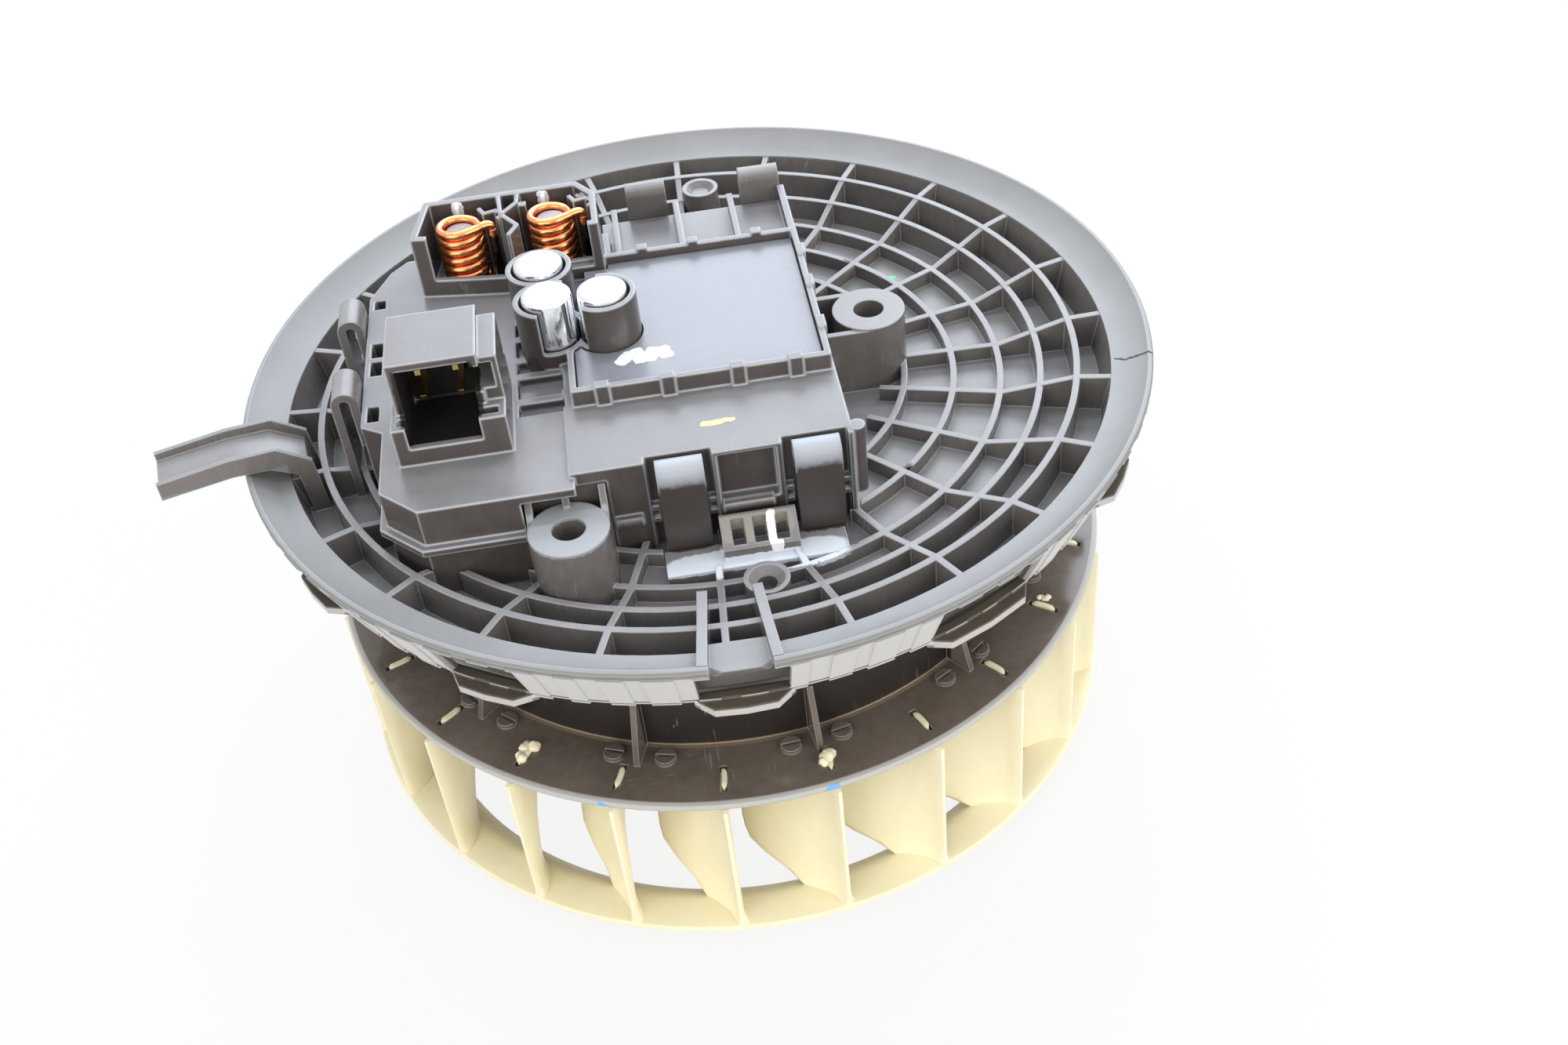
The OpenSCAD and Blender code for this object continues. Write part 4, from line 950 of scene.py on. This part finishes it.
HOUSING = Finish(
    name="housing_black",
    colour=(84, 79, 77),
    roughness=0.23,
    grain_depth=0.01,
    mottle=0.13,
    edge_radius=0.9,
    # Painted highlight along the edges.
    painted_edge_highlight=0.8,
    dust=0.1,
    # Even painted sheen on faces that look up.
    haze=0.31,
    scuff=0.1,
    dabs=(
        # Painted shade inside the open tower: its floor, back wall and side walls.
        Dab((-52.2, -28.7, 10.3), (8.6, 10.4, 1.2), (40, 37, 36)),
        Dab((-52.2, -19.4, 19.0), (8.4, 1.2, 10.2), (40, 37, 36)),
        *(Dab((x, -29.0, 19.0), (1.0, 10.0, 10.0), (40, 37, 36)) for x in (-44.9, -59.5)),
        *(Dab((x, 35.2, 21.9), (1.3, 1.8, 1.9), (240, 244, 250)) for x in (-48.4, -28.9)),
        Dab((1.4, -41.3, 10.0), (3.6, 0.75, 1.2), (246, 236, 150), 3),
    ),
)
COVER = Finish(
    name="cover_gloss",
    colour=(128, 130, 138),
    roughness=0.32,
    coat=0.15,
    grain=900.0,
    grain_depth=0.004,
    mottle=0.1,
    patch=25.0,
    edge_radius=0.2,
    dust=0.06,
    dabs=(
        Dab((-15.2, -18.0, 12.1), (1.5, 2.5, 1.0), (246, 249, 252), -38),
        Dab((-12.4, -17.6, 12.1), (1.5, 2.8, 1.0), (246, 249, 252), 12),
        Dab((-9.6, -17.8, 12.1), (1.7, 2.6, 1.0), (246, 249, 252), -24),
        Dab((-6.8, -17.6, 12.1), (1.5, 2.3, 1.0), (246, 249, 252), 16),
    ),
)
DISC = Finish(
    name="hub_black",
    colour=(106, 96, 87),
    roughness=0.17,
    grain_depth=0.01,
    mottle=0.18,
    edge_radius=0.4,
    # Painted highlight along the edges.
    painted_edge_highlight=0.3,
    dust=0.05,
    scuff=0.3,
    dabs=(
        Dab(tuple(polar(90.8, -111.7, -50.0)), (1.6, 0.9, 1.6), (120, 176, 236), -21),
        Dab(tuple(polar(90.6, -81.5, -50.0)), (1.6, 0.9, 1.6), (120, 176, 236), 9),
    ),
    zones=(
        # Painted reflection: the disc's outer edge light grey.
        Zone(low=-52.0, top=-48.9, radius=88.7, colour=(186, 185, 181), roughness=0.45),
        # Painted shade: the drum under the flange dark.
        Zone(low=-49.2, top=-5.0, radius=-1.0, colour=(46, 41, 38), roughness=0.3, reach=75.0),
        # Painted highlight: a tan line along the drum's foot.
        Zone(low=-49.8, top=-48.9, radius=72.6, colour=(138, 120, 98), roughness=0.3, reach=74.6, soft=0.15),
    ),
)
BLADE = Finish(
    name="blade_cream",
    colour=(252, 244, 211),
    roughness=0.42,
    grain_depth=0.012,
    mottle=0.03,
    edge_radius=0.4,
)
COPPER = Finish(
    name="enamelled_copper",
    colour=(246, 156, 98),
    roughness=0.26,
    metallic=1.0,
    coat=0.6,
    grain=1500.0,
    grain_depth=0.006,
    patch=400.0,
    edge_radius=0.0,
    dabs=(
        # Painted shade: the leads' legs down to the board darkened.
        *(Dab((x, 25.7, 14.0), (1.6, 1.6, 6.6), (36, 31, 29)) for x in (-40.6, -20.1)),
    ),
)
CAN = metal(
    "bright_can", (238, 241, 244), 0.14, 700.0, mottle=0.06, patch=300.0, edge_radius=0.25
)
SLEEVE = Finish(
    name="sleeve_black",
    colour=(24, 24, 28),
    roughness=0.16,
    coat=0.4,
    grain=500.0,
    grain_depth=0.03,
    mottle=0.3,
    edge_radius=0.15,
)
GOLD = metal("pin_gold", (236, 206, 128), 0.22, 3000.0, edge_radius=0.1)
SINK = metal("sink_aluminium", (206, 208, 210), 0.36, 1400.0, edge_radius=0.2)
STEEL = metal("plated_steel", (196, 196, 192), 0.28, 1200.0, edge_radius=0.2)
CARRIER = metal("carrier_metal", (150, 154, 158), 0.42, 900.0, mottle=0.2)
LAMINATION = metal("lamination_stack", (104, 108, 116), 0.45, 2500.0, mottle=0.25, edge_radius=0.15)
BEARING = metal("bearing_steel", (214, 216, 220), 0.16, 1500.0, edge_radius=0.2)
SHAFT = metal("shaft_steel", (204, 206, 208), 0.2, 1800.0, edge_radius=0.2)
SPRING = metal("spring_steel", (96, 94, 92), 0.32, 1500.0, edge_radius=0.1)
ROTOR = metal("rotor_zinc", (168, 172, 176), 0.34, 350.0, mottle=0.3, patch=180.0)
FERRITE = Finish(
    name="ferrite_glaze", colour=(176, 168, 174), roughness=0.6, grain=2200.0, grain_depth=0.05, mottle=0.3
)
BOARD = Finish(
    name="board_green", colour=(28, 74, 52), roughness=0.35, coat=0.3, grain=500.0, mottle=0.25, patch=320.0
)
EPOXY = Finish(
    name="epoxy_black", colour=(34, 34, 36), roughness=0.5, grain=1800.0, grain_depth=0.03, edge_radius=0.15
)
RUBBER = Finish(
    name="mount_rubber", colour=(30, 30, 31), roughness=0.72, grain=1500.0, grain_depth=0.05
)
MAGNET = Finish(
    name="magnet_grey", colour=(70, 70, 73), roughness=0.55, grain=1700.0, grain_depth=0.04, mottle=0.25
)

FINISHED_NODES: tuple[tuple[Finish, tuple[str, ...]], ...] = (
    (FLANGE, ("carrier_flange",)),
    (HOUSING, ("controller_housing",)),
    (COVER, ("cover_plate",)),
    (BOARD, ("circuit_board",)),
    (GOLD, ("plug_pins",)),
    (FERRITE, ("choke_core_left", "choke_core_right")),
    (COPPER, ("choke_coil_left", "choke_coil_right", "stator_windings", "phase_leads")),
    (CAN, ("capacitor_left", "capacitor_middle", "capacitor_right")),
    (SLEEVE, ("capacitor_sleeves",)),
    (EPOXY, ("power_transistors",)),
    (SINK, ("heat_sink",)),
    (STEEL, ("board_screws", "motor_screws")),
    (CARRIER, ("motor_carrier",)),
    (RUBBER, ("rubber_mounts",)),
    (LAMINATION, ("stator_core",)),
    (BEARING, ("upper_bearing", "lower_bearing")),
    (SHAFT, ("motor_shaft",)),
    (SPRING, ("shaft_clip",)),
    (ROTOR, ("rotor_cup",)),
    (MAGNET, ("rotor_magnets",)),
    (DISC, ("wheel_hub",)),
    (BLADE, ("blade_ring",)),
)
NODE_FINISHES = {name: finish for finish, names in FINISHED_NODES for name in names}


# ---------------------------------------------------------------- sub-assemblies


@dataclass
class FrameParts:
    """The CAD solids that keep their own shape and only get a finish."""

    shop: FinishShop

    def dress(self) -> None:
        """Gives every CAD node its material and smooth shading."""
        for name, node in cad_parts.items():
            finish = NODE_FINISHES[name]
            node.data.materials.clear()
            node.data.materials.append(self.shop.material(finish))
            smooth_by_angle(node)
            log.info("dressed %s with %s", name, finish.name)


@dataclass
class ChokeCoil:
    """One choke: enamelled wire wound round a ferrite rod, with both ends down to the board.

    Attributes:
        side: Which of the two chokes it is.
        middle: The rod's place in plan.
        wire: The wire's diameter.
        outer: The coil's outer diameter.
        turns: Turns of the wire.
        seat: Height of the rod's seat.
        lift: How far the turns start above the seat.
        rise: How far the turns climb.
        stem: Heights of the points up to the first turn.
        lead_out: Where the top end goes down, seen from the rod.
        hook: The bend from the last turn to there.
        drop: Heights of the points from there down to the board.
        steps: Steps in one turn.
    """

    side: str
    middle: tuple[float, float]
    wire: float = 2.0
    outer: float = 11.0
    turns: float = 5.8
    seat: float = 9.3
    lift: float = 1.0
    rise: float = 12.6
    stem: tuple[float, ...] = (-2.2, 2.0, 8.0, 9.5)
    lead_out: tuple[float, float] = (7.4, -1.8)
    hook: tuple[Point, ...] = (
        (-3.4, -1.25, 1.05), (-1.9, -0.65, 1.25), (-0.6, -0.15, 1.0), (0, 0, 0.1), (0, 0, -1.3)
    )
    drop: tuple[float, ...] = (8.0, -2.2)
    steps: int = 40

    def path(self) -> list[Vector]:
        """Gives the wire's centre line.

        Returns:
            Points in millimetres from the board, round the rod and back down.
        """
        radius = (self.outer - self.wire) / 2
        count = round(self.turns * self.steps)
        stem = [Vector((radius, 0, z)) for z in self.stem]
        helix = [
            polar(radius, 360 * i / self.steps, self.seat + self.lift + self.rise * i / count)
            for i in range(2, count + 1)
        ]
        end = Vector((*self.lead_out, self.seat + self.rise))
        lead = [end + Vector(bend) for bend in self.hook]
        lead += [Vector((*self.lead_out, z)) for z in self.drop]
        line = catmull(stem + helix[:1], 4)[:-1] + helix[:-1] + catmull(helix[-1:] + lead, 5)
        return [p + Vector((*self.middle, 0)) for p in line]

    def build(self, shop: FinishShop) -> bpy.types.Object:
        """Builds the wire in place of its CAD node.

        Args:
            shop: Where the material comes from.

        Returns:
            The dressed wire.
        """
        coil = tube(f"choke_wire_{self.side}", self.path(), self.wire / 2)
        coil.data.shade_smooth()
        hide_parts(f"choke_coil_{self.side}")
        return dress(coil, shop.material(COPPER), Body.CARRIER)


@dataclass
class BladeRing:
    """The moulded ring of twisted blades with its inlet shroud and the tabs staked through the disc.

    The inner edge of a blade runs straight from edge_top to edge_mid, at edge_share of the height, and
    curves out to edge_foot by the power edge_curve. sweep_rate is its twist in degrees for each square
    millimetre of depth. Both edges thin out over edge_round, to edge_blunt of the thickness squared,
    and at the shroud a fillet makes the blade thicker by fillet_spread. row_shift brings the rows
    closer at both ends. A tab bows by tab_bow, and thins out at its ends to twice tab_end, where it
    is lower by tab_slope.
    """

    count: int = 24
    turn: float = -65.7
    tip: float = 90.9
    top: float = -51.3
    height: float = 37.7
    thickness: float = 1.4
    edge_top: float = 61.0
    edge_mid: float = 73.2
    edge_foot: float = 82.8
    edge_share: float = 0.71
    edge_curve: float = 1.3
    sweep_rate: float = 0.057
    lip: float = 84.2
    eye: float = 77.0
    shell: float = 1.6
    drop: float = 8.4
    steps: int = 18
    rows: int = 14
    row_shift: float = 0.18
    fillet: float = 1.6
    fillet_spread: float = 1.4
    edge_round: float = 0.9
    edge_blunt: float = 0.3
    crease: float = 40.0
    tab_in: float = 80.6
    tab_out: float = 85.9
    tab_width: float = 1.1
    tab_end: float = 0.12
    tab_bow: float = 0.22
    tab_top: float = -48.8
    tab_slope: float = 0.35
    tab_root: float = 0.5
    tab_cuts: int = 8

    def edge(self, share: float) -> float:
        """Gives the radius of the inner edge at a share of the blade's height.

        Args:
            share: 0 at the disc and 1 at the shroud.

        Returns:
            The radius in millimetres.
        """
        if share < self.edge_share:
            return self.edge_top + (self.edge_mid - self.edge_top) * share / self.edge_share
        rest = (share - self.edge_share) / (1 - self.edge_share)
        return self.edge_mid + (self.edge_foot - self.edge_mid) * rest**self.edge_curve

    def blade(self, number: int) -> bpy.types.Object:
        """Builds one blade with rounded edges and a fillet at its foot.

        Args:
            number: The blade's place in the ring.

        Returns:
            The blade as a closed mesh.
        """
        base = self.turn + number * 360 / self.count
        reach = self.height + self.shell / 2
        runs = [i / self.steps for i in range(self.steps + 1)]
        points: list[Vector] = []
        for j in range(self.rows + 1):
            share = j / self.rows
            share = share + self.row_shift * math.sin(2 * math.pi * share) / (2 * math.pi)
            foot = max(0.0, 1 - (1 - share) * reach / self.fillet / 2)
            spread = 1 + self.fillet_spread * foot**2
            chord = self.tip - self.edge(share)
            for side, order in ((1, runs), (-1, reversed(runs))):
                for run in order:
                    depth = max(0.0, chord * run)
                    radius = self.tip - chord * run
                    slope = radius * 2 * self.sweep_rate * depth * share * math.pi / 180
                    inward = min(run, 1 - run) * chord
                    blunt = math.sqrt(min(1.0, self.edge_blunt + inward / self.edge_round))
                    half = math.degrees(self.thickness / 2 * spread * blunt / radius)
                    turn = side * half * math.sqrt(1 + slope**2) - self.sweep_rate * depth**2 * share
                    points.append(polar(radius, base + turn, self.top - share * reach))
        made = mesh_object(f"blade_{number}", points, skin(self.rows + 1, 2 * len(runs)))
        flip_outward(made)
        return made

    def shroud(self) -> bpy.types.Object:
        """Builds the inlet shroud with a rounded lip and eye.

        Returns:
            The shroud.
        """
        rim = self.top - self.height
        outline = [
            (self.tip + 0.4, rim - 0.2), (self.tip + 0.2, rim), (self.lip, rim), (self.lip - 1.5, rim - 0.3),
            (self.lip - 2.9, rim - 0.9), (self.lip - 4.2, rim - 1.9), (self.lip - 5.2, rim - 2.9),
            (self.eye + 1.0, rim - 4.1), (self.eye + 0.4, rim - 5.6), (self.eye, rim - self.drop + 0.2),
            (self.eye + 0.2, rim - self.drop), (self.eye + self.shell - 0.2, rim - self.drop),
            (self.eye + self.shell, rim - self.drop + 0.2), (self.eye + 1.9, rim - 5.9),
            (self.eye + 2.6, rim - 4.8), (self.lip - 3.9, rim - 3.5), (self.lip - 2.5, rim - 2.5),
            (self.lip - 1.2, rim - 1.9), (self.lip + 0.6, rim - self.shell),
            (self.tip + 0.2, rim - self.shell), (self.tip + 0.4, rim - self.shell + 0.2),
        ]
        return lathe("shroud", outline)

    def tab(self, number: int) -> bpy.types.Object:
        """Builds the curved tab of one blade that shows in its slot in the disc.

        Args:
            number: The blade's place in the ring.

        Returns:
            The tab as a closed mesh.
        """
        base = self.turn + number * 360 / self.count
        points: list[Vector] = []
        for i in range(self.tab_cuts + 1):
            run = i / self.tab_cuts
            off_middle = 2 * run - 1
            radius = self.tab_in + (self.tab_out - self.tab_in) * run
            end = math.sqrt(max(0.0, 1 - off_middle**6))
            bow = math.degrees(self.tab_bow * (1 - off_middle**2) / radius)
            half = math.degrees((self.tab_end + end * (self.tab_width / 2 - self.tab_end)) / radius)
            low, high = self.top - self.tab_root, self.tab_top - self.tab_slope * (1 - end)
            corners = ((-half, low), (half, low), (half, high), (-half, high))
            points += [polar(radius, base + bow + turn, z) for turn, z in corners]
        made = mesh_object(f"tab_{number}", points, skin(self.tab_cuts + 1, 4))
        flip_outward(made)
        return made

    def build(self, shop: FinishShop) -> bpy.types.Object:
        """Builds the whole ring in place of its CAD node.

        Args:
            shop: Where the material comes from.

        Returns:
            The dressed ring.
        """
        pieces = [self.shroud()]
        for number in range(self.count):
            pieces += [self.blade(number), self.tab(number)]
        ring = joined("cream_blade_ring", pieces)
        smooth_by_angle(ring, self.crease)
        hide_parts("blade_ring")
        return dress(ring, shop.material(BLADE), Body.WHEEL)


@dataclass
class MeltedStakes:
    """Clusters of blade plastic that was melted beside three tabs to lock the ring.

    Attributes:
        places: Radius, angle in degrees and scale of each cluster.
        disc_top: Height of the disc that they lie on.
        blobs: Blobs in a cluster.
        size: Radius of a blob, before it is made smaller at random.
        spread: How far the blobs lie apart, in millimetres and in degrees.
        lumps: How lumpy they are.
        lump_scale: How fine the lumps are, in lines per metre.
        seed: Seed of their places.
    """

    places: tuple[Point, ...] = ((82.7, -125.8, 1.0), (83.1, -80.8, 1.0), (82.1, -33.8, 0.6))
    disc_top: float = -49.3
    blobs: int = 9
    size: float = 1.5
    spread: tuple[float, float] = (2.0, 0.8)
    lumps: float = 0.28
    lump_scale: float = 1300.0
    seed: int = 7

    def build(self, shop: FinishShop) -> bpy.types.Object:
        """Builds every blob cluster as one piece.

        Args:
            shop: Where the material comes from.

        Returns:
            The blobs on the disc.
        """
        pick = random.Random(self.seed)
        out, aside = self.spread
        form = bmesh.new()
        for radius, degrees, scale in self.places:
            for _ in range(self.blobs):
                size = scale * self.size * pick.uniform(0.4, 0.9)
                reach = radius + scale * pick.uniform(-out, out)
                at = polar(reach, degrees + scale * pick.uniform(-aside, aside), self.disc_top)
                at.z += size * pick.uniform(0.1, 0.45)
                blob = bmesh.ops.create_icosphere(form, subdivisions=3, radius=size * MM)
                for vertex in blob["verts"]:
                    vertex.co *= 1 + self.lumps * noise.noise(vertex.co * self.lump_scale + at)
                    vertex.co += at * MM
        piece = form_object("melted_stakes", form)
        piece.data.shade_smooth()
        return dress(piece, shop.material(BLADE), Body.WHEEL)


# ---------------------------------------------------------------- studio

# The point that every lamp aims at, in metres.
LAMP_TARGET: Point = (0, 0, -0.03)


@dataclass
class SoftBox:
    """An area lamp that aims at the fan.

    Attributes:
        name: The lamp's name.
        at: Its place in metres.
        size: Its width and height in metres.
        radiance: How bright its face is.
        colour: Its colour.
    """

    name: str
    at: Point
    size: tuple[float, float]
    radiance: float
    colour: Colour = (255, 255, 255)

    def build(self) -> None:
        """Adds the lamp."""
        lamp = bpy.data.lights.new(self.name, "AREA")
        lamp.shape = "RECTANGLE"
        lamp.size, lamp.size_y = self.size
        lamp.energy = self.radiance * math.pi * self.size[0] * self.size[1]
        lamp.color = linear(self.colour)[:3]
        holder = linked(self.name, lamp)
        aim = Vector(LAMP_TARGET) - Vector(self.at)
        holder.matrix_world = Matrix.Translation(self.at) @ aim.to_track_quat("-Z", "Y").to_matrix().to_4x4()
        holder.visible_camera = False


@dataclass
class Studio:
    """Pale floor, white background and soft lamps.

    Attributes:
        floor_height: Height of the floor in millimetres.
        floor_half: Half its width in metres.
        world_light: Strength of the world as a light.
        floor_glow: Share of plain white in the floor that the eye sees.
        floor_tone: Tone of the rest, which takes the shadow.
        lamps: The lamps.
    """

    floor_height: float = -97.6
    floor_half: float = 4.0
    world_light: float = 0.68
    floor_glow: float = 0.88
    floor_tone: float = 0.62
    lamps: tuple[SoftBox, ...] = (
        SoftBox("back_window", (0.45, 1.2, 0.8), (1.6, 0.95), 4.4, (234, 242, 255)),
        SoftBox("ceiling", (0.1, 0.0, 1.45), (1.8, 1.5), 0.8, (236, 243, 255)),
        SoftBox("ceiling_strip", (0.0, 0.5, 1.3), (2.0, 0.14), 9.0, (236, 244, 255)),
        SoftBox("front_left", (-0.9, -1.2, 0.5), (1.3, 1.0), 2.4, (255, 250, 240)),
        SoftBox("front_right", (1.1, -0.9, 0.45), (1.2, 1.0), 2.5, (255, 250, 240)),
    )

    def background_rays(self, tree: Tree) -> Socket:
        """Marks the rays that should see plain white.

        Args:
            tree: The tree to add to.

        Returns:
            1 for rays from the camera, a gloss or glass, and 0 for the rest.
        """
        path = tree.node("ShaderNodeLightPath")
        seen = tree.math("MAXIMUM", path.outputs["Is Camera Ray"], path.outputs["Is Glossy Ray"])
        return tree.math("MAXIMUM", seen, path.outputs["Is Transmission Ray"])

    def world(self) -> None:
        """Makes the world: white to look at, and softer as a light."""
        world = bpy.data.worlds.new("studio")
        bpy.context.scene.world = world
        world.use_nodes = True
        tree = Tree(world.node_tree)
        background = world.node_tree.nodes["Background"]
        background.inputs["Color"].default_value = (1, 1, 1, 1)
        strength = tree.between(self.background_rays(tree), 0.0, 1.0, (self.world_light, 1.0))
        tree.feed(background.inputs["Strength"], strength)

    def floor(self) -> None:
        """Makes the floor, which glows white to the eye and keeps the fan's shadow."""
        half = self.floor_half / MM
        corners = ((-half, -half), (half, -half), (half, half), (-half, half))
        floor = mesh_object("studio_floor", [(x, y, self.floor_height) for x, y in corners], [(0, 1, 2, 3)])
        made = bpy.data.materials.new("floor_white")
        made.use_nodes = True
        tree = Tree(made.node_tree)
        shader = made.node_tree.nodes["Principled BSDF"]
        shader.inputs["Base Color"].default_value = (*(self.floor_tone,) * 3, 1)
        shader.inputs["Roughness"].default_value = 0.9
        shader.inputs["Specular IOR Level"].default_value = 0.0
        glow = tree.node("ShaderNodeEmission", {"Color": (1, 1, 1, 1), "Strength": 1.0})
        share = tree.math("MULTIPLY", self.background_rays(tree), self.floor_glow)
        mixed = tree.node("ShaderNodeMixShader", {0: share, 1: shader.outputs[0], 2: glow.outputs[0]})
        tree.feed(made.node_tree.nodes["Material Output"].inputs["Surface"], mixed.outputs[0])
        floor.data.materials.append(made)

    def build(self) -> None:
        """Builds the whole studio."""
        self.world()
        self.floor()
        for lamp in self.lamps:
            lamp.build()
        bpy.context.scene.view_settings.view_transform = "Standard"
        log.info("built the studio with %d lamps", len(self.lamps))


@dataclass
class PhotoCamera:
    """The camera at the photograph's place.

    Attributes:
        focal_px: Focal length in pixels of a photograph 2000 pixels wide.
        turn: Rotation vector from the fan's frame to the camera's.
        shift: The fan's origin seen from the camera, in millimetres.
        sensor: The sensor's width in millimetres.
        photo_width: The photograph's width in pixels.
        clip: Nearest and furthest distance that it sees, in metres.
    """

    focal_px: float = 2163.4
    turn: Point = (-0.852, -0.014, 0.168)
    shift: Point = (-19.884, 39.21, -377.232)
    sensor: float = 36.0
    photo_width: float = 2000.0
    clip: tuple[float, float] = (0.01, 50.0)

    def build(self) -> bpy.types.Object:
        """Adds the camera and makes it the scene's.

        Returns:
            The camera.
        """
        axis = Vector(self.turn)
        spin = Matrix.Rotation(axis.length, 3, axis.normalized())
        place = -(spin.transposed() @ Vector(self.shift)) * MM
        lens = bpy.data.cameras.new("photo_camera")
        lens.sensor_width = self.sensor
        lens.lens = self.focal_px / self.photo_width * self.sensor
        lens.clip_start, lens.clip_end = self.clip
        camera = linked("photo_camera", lens)
        camera.matrix_world = Matrix.Translation(place) @ spin.transposed().to_4x4()
        bpy.context.scene.camera = camera
        log.info("placed the camera at %s", [round(c, 3) for c in place])
        return camera


def main() -> None:
    """Builds the studio, dresses the frame and adds the finer pieces."""
    logging.basicConfig(level=logging.INFO, format="%(name)s: %(message)s")
    PhotoCamera().build()
    Studio().build()
    shop = FinishShop()
    FrameParts(shop).dress()
    builders: list[Callable[[FinishShop], bpy.types.Object]] = [
        ChokeCoil("left", (-48.0, 27.5)).build,
        ChokeCoil("right", (-27.5, 27.5)).build,
        BladeRing().build,
        MeltedStakes().build,
    ]
    for build in builders:
        build(shop)


if __name__ == "__main__":
    main()
